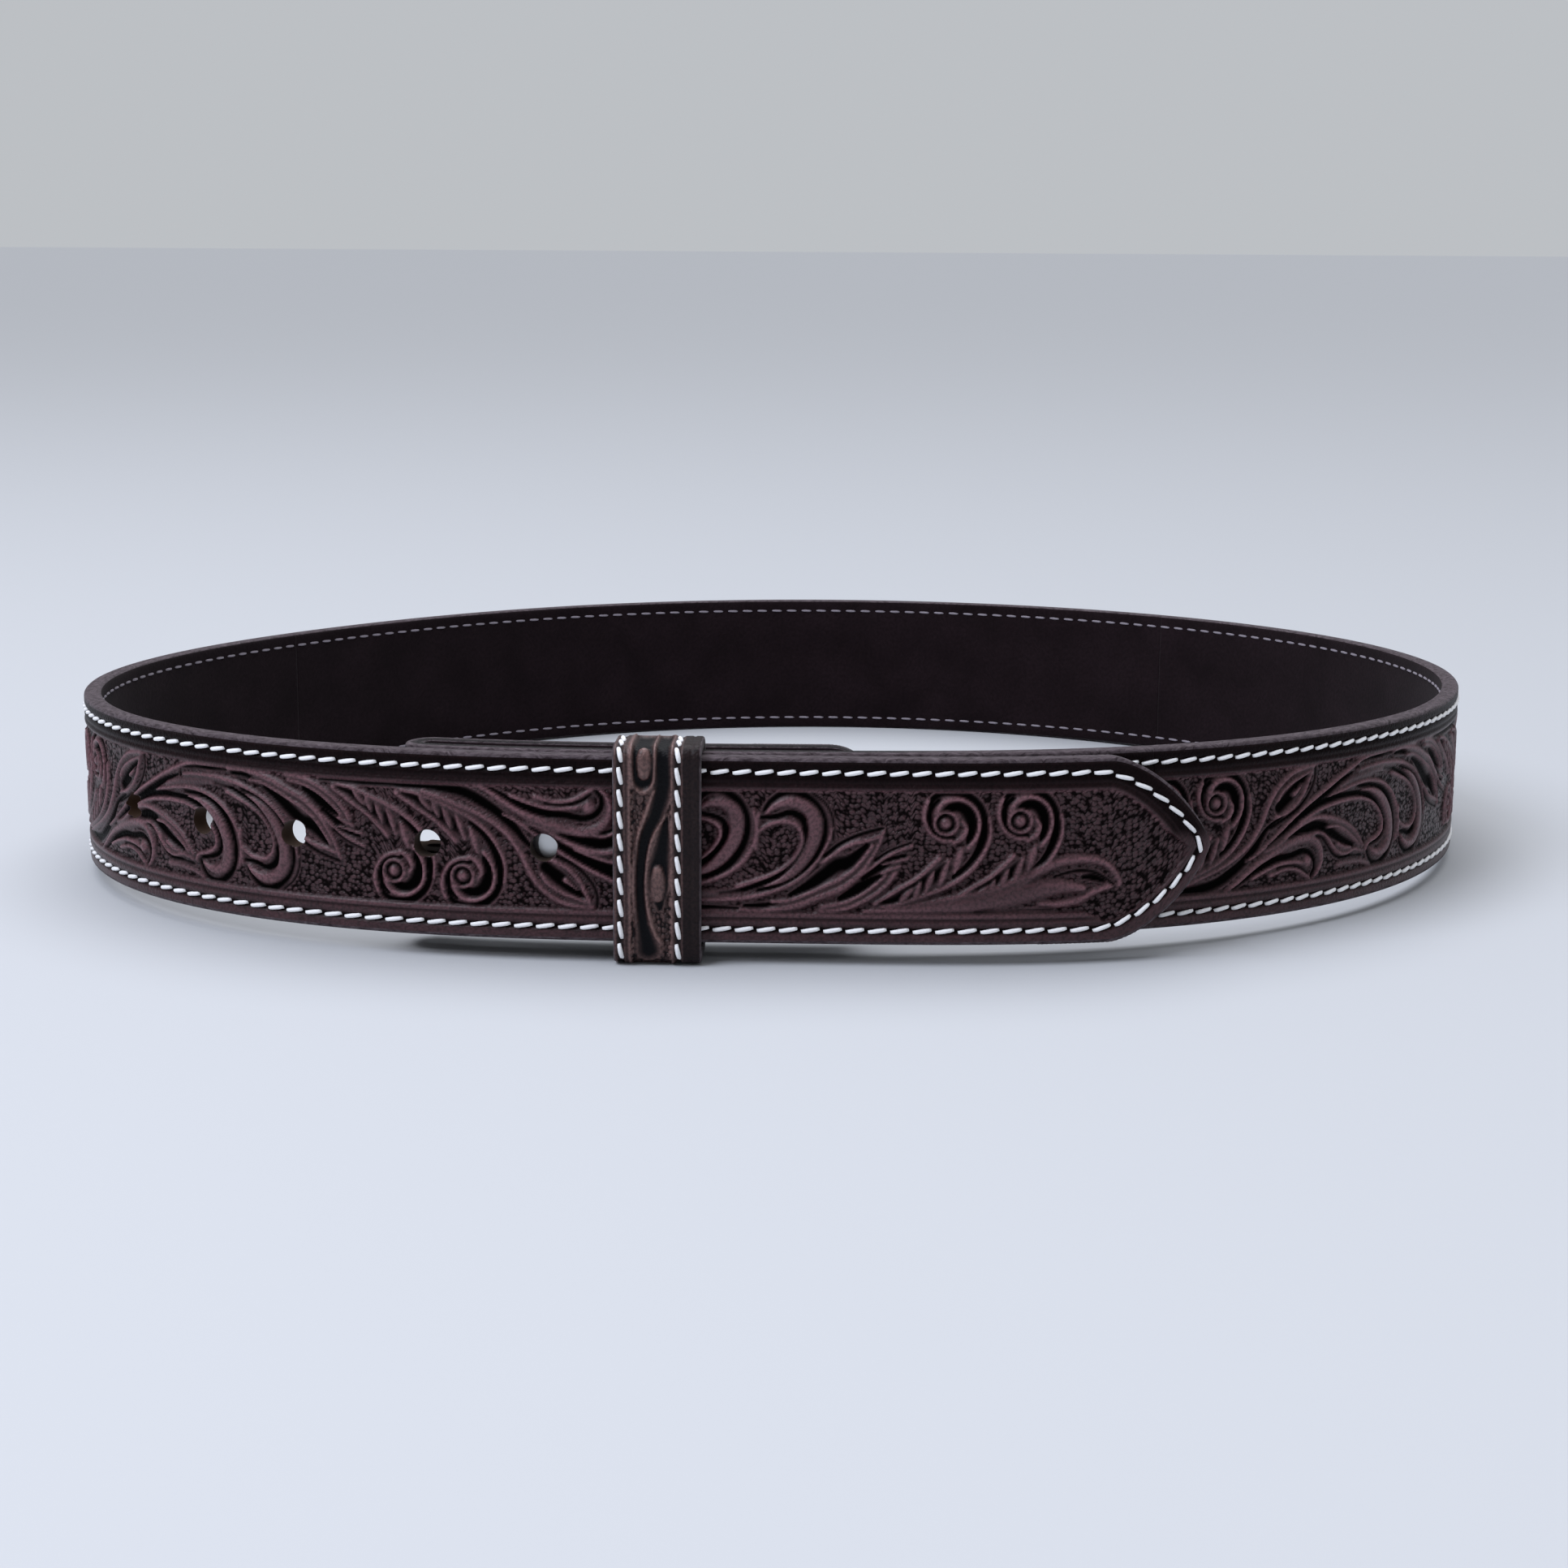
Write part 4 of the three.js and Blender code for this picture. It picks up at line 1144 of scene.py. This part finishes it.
def make_strap():
    for part in STRAP_PIECES:
        piece = strap_piece(part["name"], part["start"], part["end"], part["step"])
        if part["name"] == "strap_fold":
            punched(piece, fold_cutter())
        if part["name"] == "strap_left":
            punched(piece, hole_cutter(part["start"], part["end"]))
        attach(piece, "root")
        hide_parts("strap")


# Stitching

OUTER_STITCH = {"pitch": 4.42, "length": 3.7, "thread": 0.88, "slant": 9.5, "sides": 8}
INNER_STITCH = {"pitch": 4.42, "length": 2.9, "thread": 0.6, "slant": 2, "sides": 6}
THREAD_SINK = 0.12
STITCH_CUTS = 5
STITCH_END = 0.8
STITCH_DIVE = 0.4
PLY_OVAL = 0.07
PLY_TWIST = 4.8


def stitch_spots(route, pitch, reach=1.6):
    """Middles and directions of evenly spaced stitches along a route."""
    lengths = run_lengths(route)
    count = int(round(lengths[-1] / pitch))
    middles = (np.arange(count) + 0.5) * lengths[-1] / count
    ahead, behind = (along(np.clip(middles + shift, 0, lengths[-1]), lengths, route)
                     for shift in (reach, -reach))
    run = ahead - behind
    return along(middles, lengths, route), np.arctan2(run[:, 1], run[:, 0])


def stitch_shape(kind):
    """One stitch lying along X: a thread that rises out of its hole and dives into the next."""
    stitch = bmesh.new()
    bmesh.ops.create_cone(stitch, cap_ends=True, segments=kind["sides"], radius1=0.5,
                          radius2=0.5, depth=1)
    lay = Matrix.Rotation(math.pi / 2, 4, "Y")
    bmesh.ops.transform(stitch, matrix=lay, verts=stitch.verts)
    lengthwise = [e for e in stitch.edges if abs(e.verts[0].co.x - e.verts[1].co.x) > 0.5]
    bmesh.ops.subdivide_edges(stitch, edges=lengthwise, cuts=STITCH_CUTS, use_grid_fill=False)
    points = np.array([vert.co for vert in stitch.verts])
    share = points[:, 0] * 2
    blunt = np.where(np.abs(share) > 0.99, STITCH_END, 1.0)
    # The two plies make the thread's section oval, and it turns along the stitch
    around = np.arctan2(points[:, 2], points[:, 1])
    oval = 1 + PLY_OVAL * np.cos(2 * around - PLY_TWIST * share)
    dive = STITCH_DIVE * kind["thread"] * np.abs(share) ** 5
    section = points[:, 1:] * kind["thread"] * (blunt * oval)[:, None]
    shaped = np.stack([share * kind["length"] / 2, section[:, 0], section[:, 1] - dive], 1)
    return mesh_of(stitch, "stitch"), shaped


def turned(local, heading):
    """A stitch's own points at each heading: how far on, how far aside and how far out."""
    a, b, c = (local[None, :, k] for k in range(3))
    cosine, sine = np.cos(heading)[:, None], np.sin(heading)[:, None]
    return a * cosine - b * sine, a * sine + b * cosine, c


def sewn_row(name, kind, count, place_points, material):
    """Many copies of one stitch joined in a mesh, each set down by place_points."""
    stitch, local = stitch_shape(kind)
    row = bmesh.new()
    for _ in range(count):
        row.from_mesh(stitch)
    mesh = mesh_of(row, name)
    write_points(mesh, place_points(local))
    shade_smooth(mesh)
    bpy.data.meshes.remove(stitch)
    return finished(name, mesh, (material,))


def strap_stitches(name, kind, side, material):
    """A closed run of stitches on the grain side or the flesh side of the strap."""
    upper = STITCH_LINE[::-1] * [1, -1] + [0, STRAP_WIDTH]
    route = np.vstack([STITCH_LINE, upper, STITCH_LINE[:1]])
    spots, heading = stitch_spots(route, kind["pitch"])

    def place_points(local):
        on, aside, out = turned(local, heading + math.radians(kind["slant"]))
        place, height = spots[:, :1] + on, spots[:, 1:] + aside
        across = np.broadcast_to(side * (FACE + out - THREAD_SINK), place.shape)
        return stand(level_strap(place, height, across)).reshape(-1, 3)

    return sewn_row(name, kind, len(spots), place_points, material)


def make_stitches():
    outer = strap_stitches("stitches_outside", OUTER_STITCH, 1, OUTER_THREAD)
    inner = strap_stitches("stitches_inside", INNER_STITCH, -1, INNER_THREAD)
    for piece in (outer, inner):
        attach(piece, "root")


# Keeper

KEEPER_STITCH = {"pitch": 4.4, "length": 3.55, "thread": 0.95, "slant": -11, "sides": 8}
KEEPER_THREAD_SINK = 0.1
KEEPER_STITCH_ENDS = (1, 9)
KEEPER_COLUMNS = (-7.3, 4.2)
KEEPER_TOOLED = (-5.2, 2.8)
KEEPER_GROOVE = {"depth": 0.4, "dye": 0.9}
KEEPER_BORDER = {"start": 5.2, "dye": 0.85}
KEEPER_BELOW = 6
KEEPER_CHART_HEIGHT = STRAP_WIDTH + 2 * KEEPER_BELOW + 2
KEEPER_CHART_MARGIN = 3
KEEPER_CHART_FADE_END = KEEPER_CHART_HEIGHT + 6
KEEPER_EDGE_ROWS = [0, 0.12, 0.3, 0.55, 0.9]
KEEPER_BEVEL = 0.6
KEEPER_INNER_BEVEL = 0.3

# Where the keeper's section starts on the chart, once round its lower corner
KEEPER_CHART_START = (KEEPER_BELOW - KEEPER_PLAY - KEEPER_SLACK - KEEPER_WALL + KEEPER_CORNER
                      - KEEPER_CORNER * math.pi / 2)

# Lines up the keeper: two ridges with cuts beside them, and a crease
KEEPER_LINES = [
    {"centre": -6.1, "width": 0.8, "rise": 0, "dye": 0.6, "crest": 0},
    {"centre": -5.2, "width": 1.1, "rise": 0.2, "dye": 0, "crest": 0.7},
    {"centre": -4.3, "width": 0.8, "rise": 0, "dye": 0.6, "crest": 0},
    {"centre": 1.9, "width": 0.8, "rise": 0, "dye": 0.6, "crest": 0},
    {"centre": 2.8, "width": 1.1, "rise": 0.2, "dye": 0, "crest": 0.7},
    {"centre": 3.7, "width": 0.8, "rise": 0, "dye": 0.6, "crest": 0},
    {"centre": 6.9, "width": 0.8, "rise": -0.15, "dye": 0.8, "crest": 0},
]

# Strokes from the middle of the keeper and the lower edge of the strap
KEEPER_STROKES = [
    ("hollow", (3.3, 3.3, 3.8, 3.0, 2.4, 2.2, 1.9, 1.7, 2.2, 4.4), [(1.3, 43.1), (1.3, 38),
     (1.3, 32.4), (-0.05, 26.9), (-1.4, 24.1), (-2.4, 21.3), (-3.15, 15.7), (-3.3, 10.1), (-2.8, 4.5),
     (-1.7, -1.1)]),
    ("hollow", (0.5, 2.4, 4.0, 3.9, 0.8), [(1.9, 26.3), (1.3, 21), (0.5, 15), (0.4, 11), (0.6, 7.5)]),
    ("bead", (2.2, 3.1, 3.4, 3.1, 2.4), [(0.2, 15.4), (0.2, 14), (0.2, 12.6), (0.2, 11), (0.2, 9.9)]),
    ("ridge", (0.4, 0.6, 0.6, 0.5), [(1.9, 26.6), (-1.0, 21.3), (-2.1, 14.6), (-1.9, 8.4), (-0.6, 3),
     (0.8, 0.5)]),
    ("hollow", (4.4, 4.4), [(-2.7, 45), (-2.7, 33.9)]),
    ("bead", (2.4, 3.2, 3.3, 2.6), [(-2.5, 39.6), (-2.5, 38), (-2.5, 36.4), (-2.5, 34.8)]),
    ("ridge", (0.5, 0.6, 0.5), [(-0.4, 44), (-0.35, 36), (-0.9, 32.6), (-2.7, 31.1), (-4.5, 32.6),
     (-5.0, 36), (-5.05, 44)]),
    ("ridge", (0.5, 0.5, 0.4), [(-0.5, 31.5), (-2.2, 26.5), (-3.8, 21.5), (-4.4, 15.7), (-4.45, 10.1),
     (-4.1, 4.5)]),
]
keeper_tooling = Tooling(moved(KEEPER_STROKES, (KEEPER_WIDTH / 2, KEEPER_BELOW)),
                         KEEPER_WIDTH + 2, KEEPER_CHART_HEIGHT, False)


def keeper_loop(step_front, step_rest):
    """Outside of the keeper's section, once round: distances out of the ring and heights,
    with the way it faces, starting behind at the bottom."""
    outer = LAYER_OFFSET + FACE + KEEPER_PLAY + KEEPER_WALL - KEEPER_CORNER
    low = KEEPER_CORNER - KEEPER_PLAY - KEEPER_SLACK - KEEPER_WALL
    high = STRAP_WIDTH + KEEPER_PLAY + KEEPER_WALL - KEEPER_CORNER
    corners = [(outer, low, -90), (outer, high, 0), (-outer, high, 90), (-outer, low, 180)]
    rows = []
    for index, (out, height, first) in enumerate(corners):
        for angle in np.radians(np.linspace(first, first + 90, 9)):
            facing = (math.cos(angle), math.sin(angle))
            rows.append((out + KEEPER_CORNER * facing[0], height + KEEPER_CORNER * facing[1],
                         *facing))
        here = np.array(rows[-1])
        there = here.copy()
        there[:2] = corners[(index + 1) % 4][:2] + KEEPER_CORNER * here[2:]
        step = step_front if index == 0 else step_rest
        count = max(int(math.dist(here, there) / step), 2)
        for share in np.linspace(0, 1, count + 1)[1:-1]:
            rows.append(tuple(here + (there - here) * share))
    return np.array(rows + rows[:1])


def on_keeper(width, out, height):
    """Frame points at a distance along the strap from the keeper's middle, out and up."""
    point, normal = (part[0] for part in ring_at(np.array([KEEPER_PLACE])))
    tangent = np.array([-normal[1], normal[0]])
    flat = point + width[..., None] * tangent + out[..., None] * normal
    return stand(np.concatenate([flat, height[..., None]], -1))


def keeper_grain(width, chart_height):
    """Rise over the keeper's face, dye, crest and ground, by the distance from its middle."""
    front = smooth_step(chart_height) * smooth_step(KEEPER_CHART_FADE_END - chart_height)
    shown = front * (width > KEEPER_TOOLED[0]) * (width < KEEPER_TOOLED[1])
    chart_height = np.minimum(chart_height, KEEPER_CHART_HEIGHT - KEEPER_CHART_MARGIN)
    rise, dye, crest, ground = (
        keeper_tooling.at(part, width + KEEPER_WIDTH / 2, chart_height) * shown
        for part in TOOLED_PARTS)
    for line in KEEPER_LINES:
        bump = bump_over(width, line["centre"], line["width"])
        rise += line["rise"] * bump
        dye = np.maximum(dye, line["dye"] * bump)
        crest = np.maximum(crest, line["crest"] * bump)
    for centre in KEEPER_COLUMNS:
        groove = bump_over(width, centre, GROOVE_WIDTH)
        rise -= KEEPER_GROOVE["depth"] * groove
        dye = np.maximum(dye, KEEPER_GROOVE["dye"] * np.sqrt(groove))
    dye = np.maximum(dye, KEEPER_BORDER["dye"] * (width > KEEPER_BORDER["start"]))
    return rise, dye, crest, ground


def keeper_piece():
    """The keeper's loop: its face with rolled edges, its side walls and its inside."""
    loop = keeper_loop(0.3, 1.2)
    near = np.array(KEEPER_EDGE_ROWS)
    face = np.r_[near, np.linspace(near[-1], KEEPER_WIDTH - near[-1], 56)[1:-1],
                 KEEPER_WIDTH - near[::-1]]
    inner_face = np.linspace(KEEPER_WIDTH - KEEPER_INNER_BEVEL, KEEPER_INNER_BEVEL, 8)
    widths = np.r_[face, KEEPER_WIDTH, inner_face, 0, face[0]] - KEEPER_WIDTH / 2
    last_row = len(widths) - 1
    mesh, column, row = rolled_sheet("keeper_loop", len(loop), len(widths))
    out, height, face_out, face_up = loop[column].T
    width = widths[row]
    on_face = (row < len(face)) | (row == last_row)
    inside = (row > len(face)) & (row < last_row - 1)
    round_loop = run_lengths(loop[:, :2])
    rise, dye, crest, ground = keeper_grain(width, round_loop[column] + KEEPER_CHART_START)
    edge = KEEPER_WIDTH / 2 - np.abs(width)
    lift = np.where(inside, -KEEPER_WALL, -KEEPER_WALL + KEEPER_INNER_BEVEL)
    lift = np.where(on_face, rise - bevel_drop(edge, KEEPER_BEVEL), lift)
    write_points(mesh, on_keeper(width, out + face_out * lift, height + face_up * lift))
    across = np.r_[0, np.cumsum(np.abs(np.diff(widths)) + 0.01)]
    write_uv(mesh, round_loop[column], across[row])
    write_layers(mesh, {"dye": dye * on_face, "crest": crest * on_face,
                        "ground": ground * on_face})
    sides = np.full(len(widths), EDGE)
    sides[2:len(face) - 3] = GRAIN
    sides[len(face) + 1:last_row - 2] = FLESH
    write_sides(mesh, row, sides)
    shade_smooth(mesh)
    rims = (row == 0) | (row == last_row) | (column == 0) | (column == len(loop) - 1)
    close_tube(mesh, np.flatnonzero(rims), EDGE)
    return finished("keeper_loop", mesh, (KEEPER_GRAIN, CUT_EDGE, FLESH_SIDE))


def keeper_stitches():
    """Two columns of stitches up the front of the keeper and over its rounded ends."""
    loop = keeper_loop(0.5, 0.5)
    lengths = run_lengths(loop[:, :2])
    front = lengths[loop[:, 2] > 0.3]
    start, end = front.min() + KEEPER_STITCH_ENDS[0], front.max() + KEEPER_STITCH_ENDS[1]
    count = int(round((end - start) / KEEPER_STITCH["pitch"]))
    middles = start + (np.arange(count) + 0.5) * (end - start) / count

    def place_points(local):
        slant = np.full(count, math.radians(KEEPER_STITCH["slant"]))
        on, aside, lift = turned(local, slant)
        spots = along((middles[:, None] + on) % lengths[-1], lengths, loop)
        out, up, face_out, face_up = np.moveaxis(spots, -1, 0)
        lift = lift - KEEPER_THREAD_SINK
        parts = [on_keeper(column + aside, out + face_out * lift, up + face_up * lift)
                 for column in KEEPER_COLUMNS]
        return np.concatenate(parts).reshape(-1, 3)

    return sewn_row("keeper_stitches", KEEPER_STITCH, count * len(KEEPER_COLUMNS), place_points,
                    OUTER_THREAD)


def make_keeper():
    loop, stitches = keeper_piece(), keeper_stitches()
    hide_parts("keeper")
    for piece in (loop, stitches):
        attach(piece, "root")


# Snaps

# Radius and height of the ring's section, from its centre out and round to the barrel
SNAP_PROFILE = [
    (0, 0.9), (0.8, 0.95), (1.2, 1.4), (1.6, 1.4), (1.9, 0.3), (2.7, 0.2), (2.8, 2.4),
    (2.95, 2.75), (3.25, 2.9), (3.6, 2.8), (3.9, 2.5), (4.3, 2.38), (5.3, 2.42), (6.1, 2.3),
    (6.6, 2.0), (6.85, 1.65), (6.9, 1.35), (6.7, 1.12), (6.2, 1.08), (3.7, 1.08), (3.7, -4.4),
    (5.2, -4.4), (5.2, -5.2), (0, -5.2),
]
SNAP_RAISED = 1
SNAP_STEPS = 64
WELL_RADIUS = 2.81


def snap_piece(name, distance):
    """A snap's face ring, turned round its axis, with its barrel through the leather."""
    line, faces = strap_line(np.array([-FOLD_ARC - distance]))
    lathe = bmesh.new()
    corners = [lathe.verts.new((radius, 0, height + SNAP_RAISED))
               for radius, height in SNAP_PROFILE]
    edges = [lathe.edges.new(pair) for pair in zip(corners, corners[1:])]
    bmesh.ops.spin(lathe, geom=corners + edges, cent=(0, 0, 0), axis=(0, 0, 1),
                   angle=2 * math.pi, steps=SNAP_STEPS, use_merge=True)
    bmesh.ops.remove_doubles(lathe, verts=lathe.verts, dist=1e-4)
    bmesh.ops.recalc_face_normals(lathe, faces=lathe.faces)
    # Inside the well the metal is painted dark olive: painted shade in the recess, over a brass tone
    for face in lathe.faces:
        inside = all(math.hypot(vert.co.x, vert.co.y) < WELL_RADIUS for vert in face.verts)
        face.material_index = int(inside and face.calc_center_median().z > 0)
    bmesh.ops.transform(lathe, matrix=facing_out(faces[0], line[0]), verts=lathe.verts)
    mesh = mesh_of(lathe, name)
    write_points(mesh, stand(np.array([vert.co for vert in mesh.vertices])))
    shade_smooth(mesh)
    return finished(name, mesh, (STEEL, SHADED_WELL))


def make_snaps():
    for number, distance in enumerate(SNAP_PLACES, 1):
        piece = snap_piece(f"snap_face_{number}", distance)
        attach(piece, "root")
        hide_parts(f"snap_ring_{number}")
        cap_materials = frame["nodes"][f"snap_cap_{number}"].data.materials
        cap_materials.clear()
        cap_materials.append(STEEL)


# Studio

CAMERA_HEIGHT = 142.4
CAMERA_PLACE = (-2.1, -638.6)
CAMERA_PITCH = 0.2056
CAMERA_ROLL = 0.0062
FOCAL_PIXELS = 3200
PHOTO_PIXELS = 1932
FLOOR_REACH = 40
LAMPS = [
    {"name": "window", "kind": "AREA", "size": 1.2, "power": 26, "colour": "#eef2ff",
     "place": (-1.0, -0.65, 1.45)},
    {"name": "fill", "kind": "AREA", "size": 1.4, "power": 2, "colour": "#ffffff",
     "place": (1.4, -1.0, 0.9)},
    {"name": "sky", "kind": "SUN", "size": 1.0, "power": 2.2, "colour": "#f8f9ff",
     "place": (0.1, 0.6, 1.8)},
]
LAMP_TARGET = Vector((0, 0, 0.02))


def make_floor():
    shape = bmesh.new()
    bmesh.ops.create_grid(shape, x_segments=1, y_segments=1, size=FLOOR_REACH)
    # Matt pale paper
    paper, _, surface = shader("Pale_paper")
    wire(surface, {"Base Color": linear("#bcbfc3"), "Roughness": 0.9})
    floor = finished("floor", mesh_of(shape, "floor"), (paper,))


def make_lamps():
    for lamp in LAMPS:
        light = bpy.data.lights.new(lamp["name"], lamp["kind"])
        light.energy = lamp["power"]
        light.color = linear(lamp["colour"])[:3]
        setattr(light, "angle" if lamp["kind"] == "SUN" else "size", lamp["size"])
        holder = bpy.data.objects.new(lamp["name"], light)
        holder.location = lamp["place"]
        toward = LAMP_TARGET - Vector(lamp["place"])
        holder.rotation_euler = toward.to_track_quat("-Z", "Y").to_euler()
        bpy.context.scene.collection.objects.link(holder)


def make_backdrop():
    world = bpy.data.worlds.new("studio")
    world.use_nodes = True
    tree = world.node_tree
    # Brighter where it is seen than where it lights the belt, to match the far floor
    seen = node(tree, "LightPath", {}, "Is Camera Ray")
    strength = node(tree, "MapRange", {"Value": seen, "To Min": 0.33, "To Max": 0.64})
    wire(tree.nodes["Background"], {"Color": linear("#e6eaef"), "Strength": strength})
    bpy.context.scene.world = world
    bpy.context.scene.view_settings.view_transform = "Standard"


def make_camera():
    camera = bpy.data.cameras.new("camera")
    camera.sensor_width = 36
    camera.lens = FOCAL_PIXELS / PHOTO_PIXELS * camera.sensor_width
    camera.clip_start = 0.01
    holder = bpy.data.objects.new("camera", camera)
    turn = Matrix.Rotation(math.pi / 2 - CAMERA_PITCH, 4, "X")
    turn = turn @ Matrix.Rotation(CAMERA_ROLL, 4, "Z")
    place = (CAMERA_PLACE[0] * MM + SHIFT[0], CAMERA_PLACE[1] * MM + SHIFT[1],
             CAMERA_HEIGHT * MM)
    holder.matrix_world = Matrix.Translation(place) @ turn
    bpy.context.scene.collection.objects.link(holder)
    bpy.context.scene.camera = holder


make_strap()
make_stitches()
make_keeper()
make_snaps()
make_floor()
make_lamps()
make_backdrop()
make_camera()
